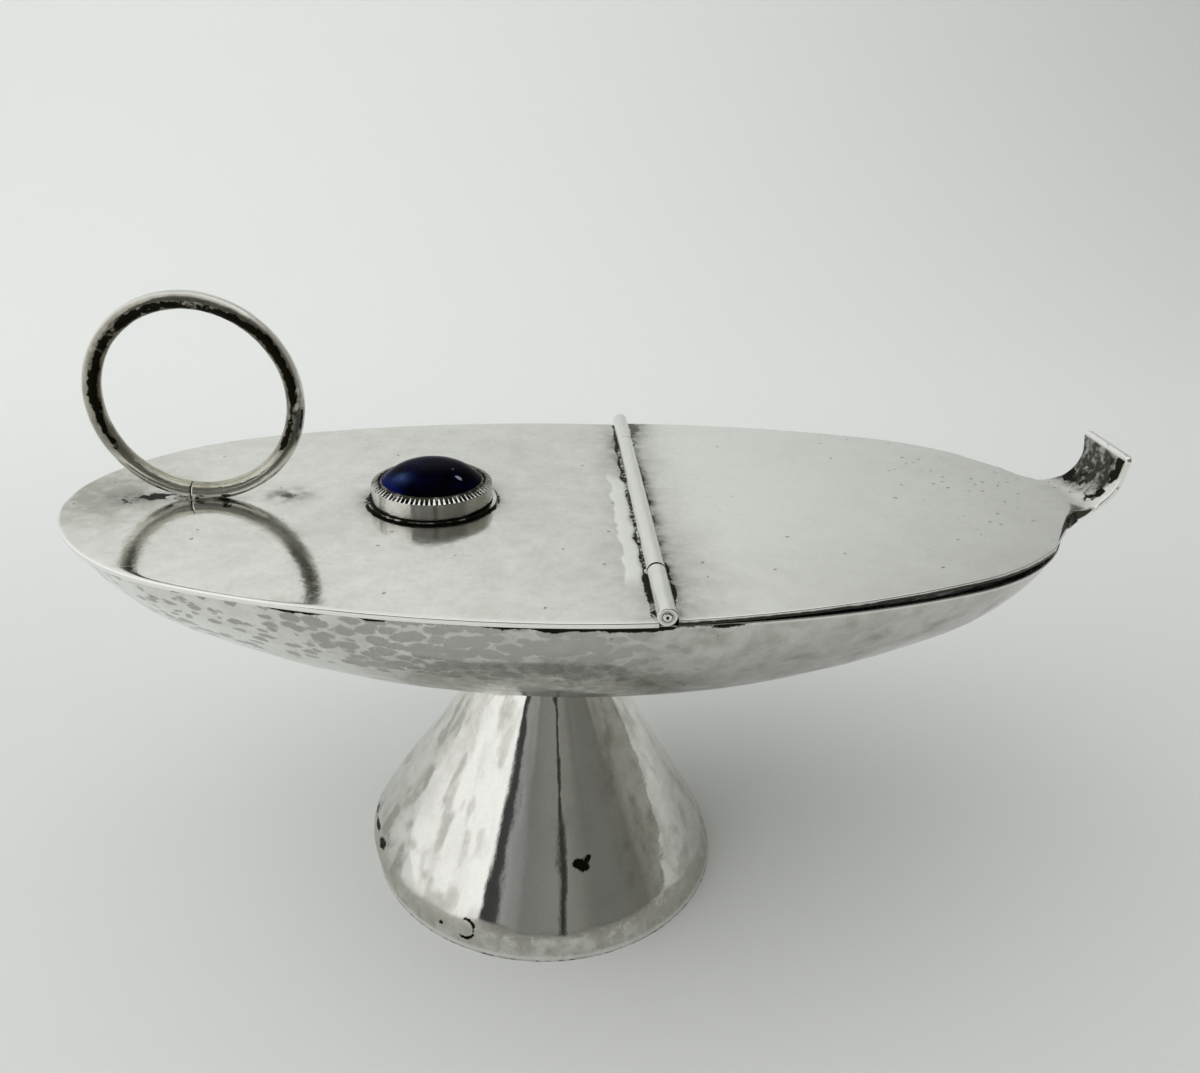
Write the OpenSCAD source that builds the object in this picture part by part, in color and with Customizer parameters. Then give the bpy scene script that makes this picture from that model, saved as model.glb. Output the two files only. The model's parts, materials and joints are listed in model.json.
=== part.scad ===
// Lidded incense boat on a conical foot, hand-raised from sheet metal.
// Origin: centre of the foot's base. +X runs along the boat to the thumb piece, +Z is up.

/* [Foot] */
// Radius of the foot at its base
foot_r = 31.1; // [28:0.1:36]
// Height from the base to the lowest point of the hull
foot_h = 39.3; // [32:0.1:48]
// Radius of the foot where it meets the hull
foot_top_r = 9.6; // [7:0.1:12]
// Radius of the turn that brings the base edge upright
foot_turn_r = 6; // [3:0.5:12]
// Sheet thickness of the foot
foot_wall = 1.2; // [0.8:0.1:1.8]

/* [Hull] */
// Length of the hull at its rim
hull_len = 159.6; // [146:0.2:176]
// Width of the hull at its rim
hull_beam = 78.8; // [72:0.2:86]
// Depth of the hull from rim to lowest point
hull_depth = 29.0; // [25:0.1:31]
// Radius of the keel curve towards each end
bow_r = 43.5; // [38:0.5:50]
// Slope of the hull's end below the level
bow_rake = 30; // [26:0.5:36]
// Sheet thickness of the hull
hull_wall = 1.0; // [0.7:0.1:1.6]
// Distance from the foot's axis to the middle of the hull
hull_offset = 3.9; // [0:0.1:8]

/* [Lids] */
// Sheet thickness of both lids
lid_t = 0.9; // [0.7:0.1:1.4]
// How far the lids reach past the hull's outline
lid_overhang = 0.3; // [0:0.1:0.8]
// Gap between the shut moving lid and the rim
lid_gap = 0.2; // [0.1:0.05:0.4]
// Angle at which the moving lid stands ajar
lid_ajar = 1.6; // [0:0.1:10]

/* [Thumb piece] */
// Width of the neck at its waist
thumb_waist = 12.6; // [10:0.1:14]
// Width of the upturned lip
lip_w = 14.4; // [13:0.1:17]
// Height of the lip above the lid
lip_h = 9.1; // [8:0.1:11]
// Radius of the bend that turns the lip up
curl_r = 6.0; // [4.5:0.1:7]
// Distance from the hull's tip to the start of the bend
curl_start = 1.5; // [1:0.1:4]
// Radius of the hollow between the lid's outline and the neck
notch_r = 5.0; // [4:0.1:6]
// Height of the waist above the lid
waist_h = 4.3; // [3.6:0.1:4.5]
// How far the neck stands out past each side of the lip
neck_shoulder = 0.3; // [0.2:0.1:0.6]
// Radius of the lip's corners
lip_corner = 1.2; // [0.6:0.1:2]

/* [Hinge] */
// Distance from the middle of the hull to the hinge axis
hinge_offset = 10.1; // [4:0.1:20]
// Outer diameter of the knuckle tube
knuckle_d = 2.74; // [2.4:0.02:3.2]
// Diameter of the hinge pin
pin_d = 1.25; // [1:0.01:1.5]
// Height of the hinge axis above the fixed lid
hinge_rise = 0.75; // [0.5:0.05:1]
// Length of the middle knuckle
centre_knuckle_len = 53; // [40:0.5:60]
// Gap between neighbouring knuckles, and between the middle knuckle and the moving lid
knuckle_gap = 0.2; // [0.15:0.01:0.3]
// Running clearance of the pin in the middle knuckle, on the radius
pin_clearance = 0.04; // [0.02:0.01:0.08]
// How far the pin's peened ends stand out of the knuckles
pin_proud = 0.15; // [0:0.05:0.4]

/* [Ring handle] */
// Radius of the ring at the middle of its wire
ring_r = 15.1; // [12:0.1:18]
// Diameter of the ring's wire
ring_wire = 2.8; // [2:0.1:3.6]
// Distance from the hull's left tip to the middle of the ring
ring_inset = 20.9; // [20:0.1:30]
// Depth of the flat filed under the ring where it is soldered down
ring_flat = 0.1; // [0.05:0.05:0.5]

/* [Bezel and stone] */
// Diameter of the cabochon
stone_d = 17; // [15:0.1:19]
// Height of the cabochon's dome above its girdle
stone_dome = 3.4; // [3:0.1:5]
// Height of the cabochon's straight girdle
stone_girdle = 1.2; // [0.6:0.1:2]
// Wall thickness of the bezel collar
bezel_wall = 1.05; // [0.9:0.05:1.3]
// Clearance between the stone and its collar
stone_clearance = 0.05; // [0.02:0.01:0.1]
// Height of the collar above its base plate
bezel_h = 3.25; // [3:0.05:4.5]
// Thickness of the bezel's base plate
bezel_plate_t = 0.45; // [0.3:0.05:0.8]
// How far the base plate reaches past the collar
bezel_plate_rim = 0.75; // [0:0.05:1.2]
// Number of teeth filed in the collar's edge
bezel_teeth = 76; // [40:1:90]
// Depth of the teeth
tooth_h = 0.4; // [0.3:0.05:0.8]
// How far the teeth lean in over the stone
tooth_lean = 0.75; // [0.3:0.05:0.85]
// Height of the leaning edge below the teeth
tooth_root = 0.15; // [0.1:0.05:0.4]
// Height of the bearer that the stone sits on
bearer_h = 1.4; // [1:0.1:1.8]
// Width of the bearer
bearer_w = 1.3; // [0.8:0.1:2]
// Distance from the hinge axis to the middle of the bezel
bezel_offset = 33.5; // [24:0.1:38]

/* [Hidden] */
$fn = 144;

// Film of solder between pieces that are filed to fit each other
solder_film = 0.03;
// Overlap that lets a cut pass clean through a face
cut = 1;

// Hull: every cross-section is an arc about one long level axis above the rim.
half_len = hull_len / 2;
half_beam = hull_beam / 2;
rim_z = foot_h + hull_depth;
axis_above_rim = (half_beam * half_beam - hull_depth * hull_depth) / (2 * hull_depth);
midship_r = axis_above_rim + hull_depth;
hull_axis_z = rim_z + axis_above_rim;
hull_tip_x = hull_offset + half_len;

// Keel curve: one long arc in the middle and a tighter arc at each end, tangent to it.
// The end arc passes through the tip of the rim at the bow's rake.
bow_along = half_len - bow_r * cos(bow_rake);
bow_out = axis_above_rim - bow_r * sin(bow_rake);
bow_short = midship_r - bow_r;
keel_out = (bow_along * bow_along + bow_out * bow_out - bow_short * bow_short) / (2 * (bow_out - bow_short));
keel_r = midship_r - keel_out;
blend_share = bow_along / (keel_r - bow_r);
// Facets along the hull and across its section
length_steps = 40;
girth_steps = 24;

// Lids
lid_top = rim_z + lid_t;
moving_under = rim_z + lid_gap;
moving_top = moving_under + lid_t;

// Hinge
hinge_x = hull_offset + hinge_offset;
hinge_z = lid_top + hinge_rise;
knuckle_r = knuckle_d / 2;
hinge_half = keel_half_width(hinge_offset, axis_above_rim - lid_t, lid_overhang);
centre_half = centre_knuckle_len / 2;
end_knuckle_len = hinge_half - centre_half - knuckle_gap;
bore_r = pin_d / 2 + pin_clearance;
edge_round = (knuckle_r - bore_r) / 2;
// The lids' edges stop this far from the hinge axis, under the tube
lid_edge = knuckle_r / 2;

// Foot: the straight side is the tangent from the hull's joint to the base's turn.
foot_turn_x = foot_r - foot_turn_r;
joint_from_turn = norm([foot_top_r - foot_turn_x, foot_h]);
foot_rake = atan2(foot_h, foot_top_r - foot_turn_x) - acos(foot_turn_r / joint_from_turn);
// Height to which the foot's sheet runs before it is filed to the hull
foot_reach = foot_h + hull_depth / 8;

// Thumb piece
curl_x = hull_tip_x + curl_start;
flare = (lip_w - thumb_waist) / 2;
waist_r = (pow(lip_h - waist_h, 2) + flare * flare) / (2 * flare);
neck_half = lip_w / 2 + neck_shoulder;
neck_back = 3 * notch_r;

// Ring, bezel and stone
ring_x = hull_offset - half_len + ring_inset;
ring_z = lid_top + ring_r + ring_wire / 2 - ring_flat;
bezel_x = hinge_x - bezel_offset;
collar_in = stone_d / 2 + stone_clearance;
collar_out = collar_in + bezel_wall;
plate_top = lid_top + bezel_plate_t;
collar_top = plate_top + bezel_h;
girdle_z = plate_top + bearer_h;
dome_r = (stone_d * stone_d / 4 + stone_dome * stone_dome) / (2 * stone_dome);
dome_centre_z = girdle_z + stone_girdle + stone_dome - dome_r;
tooth_low = collar_top - tooth_h;
lean_low = tooth_low - tooth_root;
tooth_pitch = 2 * PI * collar_out / bezel_teeth;
// Half the width of the notch between two teeth at their tips
notch_half = tooth_pitch * 0.4;

silver = [0.78, 0.78, 0.75];
lid_silver = [0.82, 0.82, 0.79];
dark_silver = [0.55, 0.54, 0.50];
stone_blue = [0.03, 0.04, 0.20];

// Radius of the keel curve, grown outwards, at a distance along the hull.
function keel_radius(along, grow) =
    abs(along) < (keel_r + grow) * blend_share
        ? keel_out + sqrt(pow(keel_r + grow, 2) - along * along)
        : bow_out + sqrt(pow(bow_r + grow, 2) - pow(abs(along) - bow_along, 2));

// Half-width of the grown hull at a distance along it and a drop below its long axis.
function keel_half_width(along, drop, grow) =
    sqrt(pow(keel_radius(along, grow), 2) - drop * drop);

// Length from the middle of the hull to the tip of a skin at the rim.
function skin_half_len(grow) =
    bow_along + sqrt(pow(bow_r + grow, 2) - pow(axis_above_rim - bow_out, 2));

// A point on a skin: row i runs from tip to tip, and j across the section from rim to rim.
function skin_point(grow, i, j) =
    let (along = skin_half_len(grow) * sin(180 * i / length_steps - 90))
    let (radius = keel_radius(along, grow))
    let (angle = acos(min(1, axis_above_rim / radius)) * (2 * j / girth_steps - 1))
    [hull_offset + along, radius * sin(angle), hull_axis_z - radius * cos(angle)];

function skin_points(grow) =
    [for (i = [0 : length_steps], j = [0 : girth_steps]) skin_point(grow, i, j)];

// Index of a skin's point: each tip is one point.
function skin_index(skin, i, j) =
    (skin * (length_steps + 1) + i) * (girth_steps + 1) + (i == 0 || i == length_steps ? 0 : j);

function turned(face, back) = back ? [face[2], face[1], face[0]] : face;

// Triangles of a skin, without those that shrink to nothing at the tips.
function skin_faces(skin, back) =
    [for (i = [0 : length_steps - 1], j = [0 : girth_steps - 1], upper = [0, 1])
        if (upper == 1 ? i > 0 : i < length_steps - 1)
            turned([skin_index(skin, i, j), skin_index(skin, i + 1, j + 1),
                    upper == 1 ? skin_index(skin, i, j + 1) : skin_index(skin, i + 1, j)],
                   (upper == 1) != back)];

// Triangles of the level rim between the skins, along one side.
function rim_faces(j) =
    [for (i = [0 : length_steps - 1], skin = [0, 1])
        turned([skin_index(0, i, j), skin_index(1, i + 1, j),
                skin == 0 ? skin_index(0, i + 1, j) : skin_index(1, i, j)],
               (skin == 0) == (j == 0))];

// Half-plane outline of the hull about its long axis, grown outwards.
module keel_outline(grow) {
    intersection() {
        union() {
            intersection() {
                translate([keel_out, 0])
                    circle(keel_r + grow, $fn = 4 * $fn);
                square([2 * keel_r, 2 * (keel_r + grow) * blend_share], center = true);
            }
            for (side = [-1, 1])
                translate([bow_out, side * bow_along])
                    circle(bow_r + grow, $fn = 2 * $fn);
        }
        translate([0, -hull_len])
            square([hull_len, 2 * hull_len]);
    }
}

// The whole solid that the hull's outside bounds, grown outwards.
module hull_body(grow) {
    translate([hull_offset, 0, hull_axis_z])
        rotate([0, 90, 0])
            rotate_extrude()
                keel_outline(grow);
}

// A level slab between two heights and two places along X.
module slab(low_x, high_x, low_z, high_z) {
    translate([low_x, -hull_beam, low_z])
        cube([high_x - low_x, 2 * hull_beam, high_z - low_z]);
}

// A rod along the hinge axis, from one place to another along Y.
module hinge_rod(radius, low_y, high_y) {
    translate([hinge_x, high_y, hinge_z])
        rotate([90, 0, 0])
            cylinder(r = radius, h = high_y - low_y);
}

// Rods along both ends of the hinge axis, from the middle knuckle outwards.
module end_rods(radius) {
    for (flip = [0, 1])
        mirror([0, flip, 0])
            hinge_rod(radius, centre_half, hull_beam);
}

// Turns the moving lid's pieces about the hinge, from shut to ajar.
module ajar() {
    translate([hinge_x, 0, hinge_z])
        rotate([0, -lid_ajar, 0])
            translate([-hinge_x, 0, -hinge_z])
                children();
}

// Outline of the foot, set in by a distance: an upright turn at the base and a straight side above.
module foot_outline(inset) {
    turn_r = foot_turn_r - inset;
    turn_top = turn_r * sin(foot_rake);
    side_low = foot_turn_x + turn_r * cos(foot_rake);
    side_high = side_low - (foot_reach - turn_top) * tan(foot_rake);
    intersection() {
        translate([foot_turn_x, 0])
            circle(turn_r);
        square([foot_r, turn_top]);
    }
    square([foot_turn_x, turn_top]);
    polygon([[0, turn_top], [side_low, turn_top], [side_high, foot_reach], [0, foot_reach]]);
}

module foot_cone() {
    color(silver)
        difference() {
            rotate_extrude()
                difference() {
                    foot_outline(0);
                    foot_outline(foot_wall);
                    translate([-cut, -cut])
                        square([foot_turn_x + cut, 2 * cut]);
                }
            hull_body(solder_film);
        }
}

// The hull's sheet: its outer and inner skins, joined along the rim.
module boat_hull() {
    color(silver)
        polyhedron(
            points = concat(skin_points(0), skin_points(-hull_wall)),
            faces = concat(skin_faces(0, false), skin_faces(1, true), rim_faces(0), rim_faces(girth_steps)));
}

module fixed_lid() {
    color(lid_silver)
        difference() {
            intersection() {
                hull_body(lid_overhang);
                slab(hull_offset - hull_len, hinge_x - lid_edge, rim_z, lid_top);
            }
            hinge_rod(knuckle_r + solder_film, -centre_half, centre_half);
            end_rods(knuckle_r + knuckle_gap);
        }
}

module ring_handle() {
    color(dark_silver)
        difference() {
            translate([ring_x, 0, ring_z])
                rotate([90, 0, 0])
                    rotate_extrude()
                        translate([ring_r, 0])
                            circle(d = ring_wire, $fn = 48);
            slab(ring_x - ring_r, ring_x + ring_r, rim_z, lid_top);
        }
}

module bezel_plate() {
    color(dark_silver)
        translate([bezel_x, 0, lid_top])
            cylinder(r = collar_out + bezel_plate_rim, h = bezel_plate_t);
}

// The collar's edge leans in over the stone and is filed into teeth.
module bezel_collar() {
    color(silver)
        translate([bezel_x, 0, 0])
            difference() {
                rotate_extrude()
                    polygon([[collar_in, plate_top], [collar_out, plate_top], [collar_out, lean_low],
                             [collar_out - tooth_lean, collar_top], [collar_in, collar_top]]);
                for (i = [0 : bezel_teeth - 1])
                    rotate([0, 0, i * 360 / bezel_teeth])
                        translate([collar_in - cut, 0, 0])
                            rotate([90, 0, 90])
                                linear_extrude(bezel_wall + 2 * cut)
                                    polygon([[0, tooth_low], [notch_half, collar_top + solder_film],
                                             [-notch_half, collar_top + solder_film]]);
            }
}

module stone_bearer() {
    color(dark_silver)
        translate([bezel_x, 0, plate_top])
            difference() {
                cylinder(r = collar_in - stone_clearance, h = bearer_h - solder_film);
                translate([0, 0, -cut])
                    cylinder(r = collar_in - stone_clearance - bearer_w, h = bearer_h + 2 * cut);
            }
}

module cabochon() {
    color(stone_blue)
        translate([bezel_x, 0, 0])
            intersection() {
                translate([0, 0, girdle_z])
                    cylinder(d = stone_d, h = stone_girdle + stone_dome + cut);
                translate([0, 0, dome_centre_z])
                    sphere(dome_r);
            }
}

// One length of knuckle tube between two places along Y, with its rims eased.
module knuckle(low_y, high_y) {
    long = high_y - low_y;
    translate([hinge_x, high_y, hinge_z])
        rotate([90, 0, 0])
            rotate_extrude()
                polygon([[bore_r, 0], [knuckle_r - edge_round, 0], [knuckle_r, edge_round],
                         [knuckle_r, long - edge_round], [knuckle_r - edge_round, long], [bore_r, long]]);
}

module centre_knuckle() {
    color(silver)
        knuckle(-centre_half, centre_half);
}

module front_knuckle() {
    color(silver)
        ajar()
            knuckle(-hinge_half, -hinge_half + end_knuckle_len);
}

module back_knuckle() {
    color(silver)
        ajar()
            knuckle(hinge_half - end_knuckle_len, hinge_half);
}

module hinge_pin() {
    color(dark_silver)
        ajar()
            hinge_rod(pin_d / 2, -hinge_half - pin_proud, hinge_half + pin_proud);
}

// Plan of the neck beyond the hull's tip, with a hollow on each side where it leaves the lid.
module neck_plan() {
    difference() {
        translate([curl_x - neck_back, -neck_half - notch_r])
            square([neck_back, 2 * (neck_half + notch_r)]);
        for (side = [-1, 1])
            translate([curl_x, side * (neck_half + notch_r)])
                circle(notch_r);
    }
}

// The lip seen along X: a waisted strip with rounded corners.
module lip_face() {
    corner_y = lip_w / 2 - lip_corner;
    difference() {
        union() {
            translate([-lip_w / 2, -lip_h])
                square([lip_w, 2 * lip_h - lip_corner]);
            translate([-corner_y, 0])
                square([2 * corner_y, lip_h]);
            for (side = [-1, 1])
                translate([side * corner_y, lip_h - lip_corner])
                    circle(lip_corner, $fn = 32);
        }
        for (side = [-1, 1])
            translate([side * (thumb_waist / 2 + waist_r), waist_h])
                circle(waist_r);
    }
}

// A block seen from the side whose lower corner is rounded about the middle of the bend.
module bend_block(radius) {
    translate([0, curl_r])
        circle(radius);
    translate([-2 * cut, curl_r - radius])
        square([2 * cut, radius + cut]);
    translate([-2 * cut, curl_r])
        square([2 * cut + radius, lip_h]);
}

// The thumb piece's strip seen from the side: a short flat tail, the bend and the upright lip.
module curl_profile() {
    intersection() {
        difference() {
            bend_block(curl_r + lid_t);
            bend_block(curl_r);
        }
        translate([-cut, -2 * lid_t])
            square([cut + curl_r + 2 * lid_t, lip_h + 2 * lid_t]);
    }
}

// The bent strip, with its sides cut to the lip's face. Its tail lies in the neck.
module curled_strip() {
    translate([curl_x, 0, moving_top])
        intersection() {
            translate([0, lip_w / 2 + cut, 0])
                rotate([90, 0, 0])
                    linear_extrude(lip_w + 2 * cut)
                        curl_profile();
            translate([-2 * cut, 0, 0])
                rotate([90, 0, 90])
                    linear_extrude(curl_r + lid_t + 3 * cut)
                        lip_face();
        }
}

module moving_lid() {
    color(lid_silver)
        ajar()
            difference() {
                union() {
                    intersection() {
                        hull_body(lid_overhang);
                        slab(hinge_x + lid_edge, hull_tip_x + hull_len, moving_under, moving_top);
                    }
                    translate([0, 0, moving_under])
                        linear_extrude(lid_t)
                            intersection() {
                                neck_plan();
                                translate([curl_x - 2 * notch_r, -neck_half - notch_r / 2])
                                    square([2 * notch_r, 2 * neck_half + notch_r]);
                            }
                    curled_strip();
                }
                hinge_rod(knuckle_r + knuckle_gap, -centre_half - knuckle_gap, centre_half + knuckle_gap);
                end_rods(knuckle_r + solder_film);
            }
}

foot_cone();
boat_hull();
fixed_lid();
ring_handle();
bezel_plate();
bezel_collar();
stone_bearer();
cabochon();
centre_knuckle();
front_knuckle();
back_knuckle();
hinge_pin();
moving_lid();
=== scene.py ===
"""Looks of a lidded incense boat in worn, hand-raised silver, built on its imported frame.

Every shape is worked out in millimetres on a numpy grid and put into its mesh in metres.
+X runs from the ring handle to the thumb piece, +Y to the back of the boat and +Z up.
"""
import json
import math

import bmesh
import bpy
import numpy as np
from mathutils import Matrix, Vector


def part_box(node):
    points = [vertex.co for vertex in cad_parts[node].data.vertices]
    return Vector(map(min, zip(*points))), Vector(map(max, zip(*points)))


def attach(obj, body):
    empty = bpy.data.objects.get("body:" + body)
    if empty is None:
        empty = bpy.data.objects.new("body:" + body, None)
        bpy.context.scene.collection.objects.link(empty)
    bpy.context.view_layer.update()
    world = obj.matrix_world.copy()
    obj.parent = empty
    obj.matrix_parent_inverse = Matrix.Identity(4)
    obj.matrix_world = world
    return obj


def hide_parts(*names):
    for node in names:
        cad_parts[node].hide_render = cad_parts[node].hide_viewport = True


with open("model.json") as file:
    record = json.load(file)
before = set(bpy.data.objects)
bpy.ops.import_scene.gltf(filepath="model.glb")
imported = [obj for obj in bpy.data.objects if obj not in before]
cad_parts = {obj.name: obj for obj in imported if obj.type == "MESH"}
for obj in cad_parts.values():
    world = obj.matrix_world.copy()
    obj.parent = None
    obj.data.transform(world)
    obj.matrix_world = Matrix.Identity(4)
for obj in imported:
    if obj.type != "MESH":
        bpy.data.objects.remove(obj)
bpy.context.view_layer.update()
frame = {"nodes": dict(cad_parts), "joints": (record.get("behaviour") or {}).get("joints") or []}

MM = 0.001


def node_box(name):
    """Lowest and highest corner of a node at rest, in millimetres."""
    low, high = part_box(name)
    return np.array(low) / MM, np.array(high) / MM


# Sizes taken from the frame
hull_low, hull_high = node_box("boat_hull")
foot_low, foot_high = node_box("foot_cone")
_, fixed_high = node_box("fixed_lid")
ring_low, ring_high = node_box("ring_handle")
plate_low, plate_high = node_box("bezel_plate")
collar_low, collar_high = node_box("bezel_collar")
stone_low, stone_high = node_box("cabochon")
middle_low, middle_high = node_box("centre_knuckle")
front_low, front_high = node_box("front_knuckle")
back_low, back_high = node_box("back_knuckle")
pin_low, pin_high = node_box("hinge_pin")
lid_hinge = frame["joints"][0]
hinge_x, _, hinge_z = (value / MM for value in lid_hinge["pos_m"])
LID_AJAR = math.radians(-lid_hinge["range_deg"][0])

# Hull: every section is an arc about one long axis above the rim
HULL_WALL = 1.0
BOW_R = 43.5
BOW_RAKE = math.radians(30)
RIM_EASE = 0.15
DARK_REFLECTION_TOP = 61.0
HULL_ROWS = 361
HULL_OUTER = 201
HULL_INNER = 41
HULL_WAVE = 0.45
BLOW_PITCH = 4.4
BLOW_DEPTH = 0.05
RING_SIDE_DEPTH = 0.10
FINE_PITCH = 2.6
FINE_DEPTH = 0.05
hull_x = (hull_low[0] + hull_high[0]) / 2
half_len = (hull_high[0] - hull_low[0]) / 2
half_beam = (hull_high[1] - hull_low[1]) / 2
rim_z = hull_high[2]
hull_depth = hull_high[2] - hull_low[2]
axis_up = (half_beam ** 2 - hull_depth ** 2) / (2 * hull_depth)
axis_z = rim_z + axis_up
midship_r = axis_up + hull_depth
bow_along = half_len - BOW_R * math.cos(BOW_RAKE)
bow_out = axis_up - BOW_R * math.sin(BOW_RAKE)
bow_short = midship_r - BOW_R
keel_out = (bow_along ** 2 + bow_out ** 2 - bow_short ** 2) / (2 * (bow_out - bow_short))
keel_r = midship_r - keel_out
blend_share = bow_along / (keel_r - BOW_R)

# Lids and thumb piece
LID_OVERHANG = 0.3
LID_GAP = 0.2
LID_EDGE_EASE = 0.22
FINE_ROWS = 0.075
FIXED_COLUMNS = 150
MOVING_COLUMNS = 170
LID_WAVE = 0.05
LID_RIPPLE = 0.010
EDGE_FALL = 0.05
HINGE_CLEAR = 0.16
lid_t = fixed_high[2] - rim_z
lid_top = fixed_high[2]
CURL_R = 6.0
CURL_START = 1.5
LIP_H = 9.1
LIP_CORNER = 1.6
curl_x = hull_high[0] + CURL_START
THUMB_END = (CURL_R + lid_t / 2) * np.pi / 2 + LIP_H - CURL_R
THUMB_WAIST = 6.0
THUMB_WAIST_AT = 8.5
THUMB_FLARE = 0.058
SHOULDER_X = 75.5
SHOULDER_Y = 19.25
SHOULDER_SLOPE = 1.75
SHOULDER_ROUND = 2.0
FLANK_W = 1.8
CREASE_CLEAR = 0.45
FLANK_TILT = math.radians(38)
NECK_START = -11.0

# Hinge
tube_r = (middle_high[0] - middle_low[0]) / 2
TUBE_EASE = 0.22
TUBE_WEAR = 0.012
PIN_R = 0.625
PIN_EASE = 0.12
PIN_DIMPLE = 0.10
BORE_R = 0.665
BORE_EASE = 0.06
SOLDER_STEP = 0.28
SOLDER_ROOT = 0.12
SOLDER_INSET = 0.4
SOLDER_SHORT = 0.6
tube_foot = math.sqrt(tube_r ** 2 - (hinge_z - lid_top) ** 2)

# Ring, bezel and stone
RING_WIRE = 2.8
ring_x = (ring_low[0] + ring_high[0]) / 2
RING_SEAT_X = ring_x - 2.0
RING_JOINT_TURN = 0.15
RING_ROWS = 520
RING_COLUMNS = 56
RING_NICK = 0.16
MOUND_LONG = 5.2
MOUND_WIDE = 1.55
MOUND_HIGH = 0.42
MOUND_ROWS = 72
ring_r = (ring_high[0] - ring_low[0] - RING_WIRE) / 2
ring_z = ring_high[2] - ring_r - RING_WIRE / 2
bezel_x = (plate_low[0] + plate_high[0]) / 2
plate_r = (plate_high[0] - plate_low[0]) / 2
plate_top = plate_high[2]
collar_out = (collar_high[0] - collar_low[0]) / 2
PLATE_EASE = 0.15
BEZEL_WALL = 1.05
BEZEL_TEETH = 76
TOOTH_H = 0.4
TOOTH_ROOT = 0.15
TOOTH_STEPS = 12
TOOTH_REACH = 1.0
TOOTH_FLOOR = 0.35
STONE_GIRDLE = 1.2
collar_top = collar_high[2]
stone_r = (stone_high[0] - stone_low[0]) / 2
stone_rise = stone_high[2] - stone_low[2] - STONE_GIRDLE

# Foot
FOOT_TURN_R = 6.0
FOOT_TOP_R = 9.6
FOOT_WALL = 1.2
FOOT_ROWS = 420
BAND_TILT = math.radians(17)
BAND_INSET = 0.12
BAND_SLOPE = 0.57
BAND_SOFT = 0.3
SWELL_TURN = 0.4
SWELL_POWER = 4.3
SWELL_LOW = 1.4
SWELL_SIDE = 2.0
FLUTE_DEPTH = 0.24
FLUTE_FINE = 0.06
FOOT_BLOW_PITCH = 4.6
FOOT_BLOW_DEPTH = 0.03
FOOT_SOLDER_W = 0.45
FOOT_SOLDER_H = 1.1
# Dark spots on the foot: the place and the reach of each
FOOT_MARKS = (((4.5, -23.4, 13.9), 1.05), ((5.8, -23.4, 13.0), 1.05), ((6.4, -22.6, 14.6), 0.65),
              ((9.4, -18.7, 18.7), 0.5), ((10.7, -18.5, 17.7), 0.45), ((-6.9, -16.1, 23.0), 0.5),
              ((-18.2, -24.6, 2.6), 0.6))
# The middle of a burnt patch
FOOT_BLOTCH = (-13.8, -26.5, 3.2)
# Dark dashes: height and half-height, then turn from the ring's side and half-width in radians
FOOT_DASHES = ((5.3, 0.8, -0.05, 0.06), (5.5, 0.8, 0.11, 0.07), (5.4, 1.1, 0.28, 0.07))
foot_r = (foot_high[0] - foot_low[0]) / 2
foot_h = hull_low[2]


# Shapes: repeatable unevenness


def smooth(low, high, value):
    """Smooth step from 0 where value is low to 1 where it is high."""
    share = np.clip((value - low) / (high - low), 0, 1)
    return share * share * (3 - 2 * share)


def bell(value, centre, width):
    """Bell curve of height 1 about a centre."""
    return np.exp(-((value - centre) / width) ** 2)


def lattice(i, j, seed):
    """A number from 0 to 1 for each lattice point: the fraction left of a large sine."""
    wave = np.sin(i * 127.1 + j * 311.7 + seed * 74.7) * 43758.5453
    return wave - np.floor(wave)


def cloud(x, y, seed):
    """Value noise from 0 to 1: lattice numbers blended by smooth steps across each square."""
    i, j = np.floor(x), np.floor(y)
    across, along = smooth(0, 1, x - i), smooth(0, 1, y - j)
    near = lattice(i, j, seed) * (1 - across) + lattice(i + 1, j, seed) * across
    far = lattice(i, j + 1, seed) * (1 - across) + lattice(i + 1, j + 1, seed) * across
    return near * (1 - along) + far * along


def clouds(x, y, seed):
    """Three octaves of value noise, each half as large and half as strong, from 0 to 1."""
    whole = cloud(x, y, seed) + cloud(2 * x, 2 * y, seed + 1) / 2 + cloud(4 * x, 4 * y, seed + 2) / 4
    return whole / 1.75


def blows(x, y, pitch, seed):
    """Hammer blows, one jittered centre to each square of the pitch: how deep each point lies, from 0 to 1.
    A dent is a bowl, one less the squared distance to the nearest centre, and blows differ in force."""
    x, y = x / pitch, y / pitch
    i, j = np.floor(x), np.floor(y)
    nearest = np.full(np.shape(x), 9.0)
    force = np.zeros(np.shape(x))
    for step_i in (-1, 0, 1):
        for step_j in (-1, 0, 1):
            ci, cj = i + step_i, j + step_j
            gap = (ci + lattice(ci, cj, seed) - x) ** 2 + (cj + lattice(ci, cj, seed + 5) - y) ** 2
            force = np.where(gap < nearest, 0.4 + 0.6 * lattice(ci, cj, seed + 9), force)
            nearest = np.minimum(gap, nearest)
    return force * np.maximum(0, 1 - nearest / 0.6)


def mark_at(points, place, reach):
    """A soft round mark about a place on a piece: a bell of the distance to it."""
    return np.exp(-(np.linalg.norm(points - np.array(place), axis=-1) / reach) ** 2)


# Shapes: meshes from grids


# Which way a grid closes on itself: along its columns, both ways, or along its rows
TUBE, TORUS, TURNED = (False, True), (True, True), (True, False)
MERGE_GAP = 0.002
EDGE_ANGLE = math.radians(38)


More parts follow.
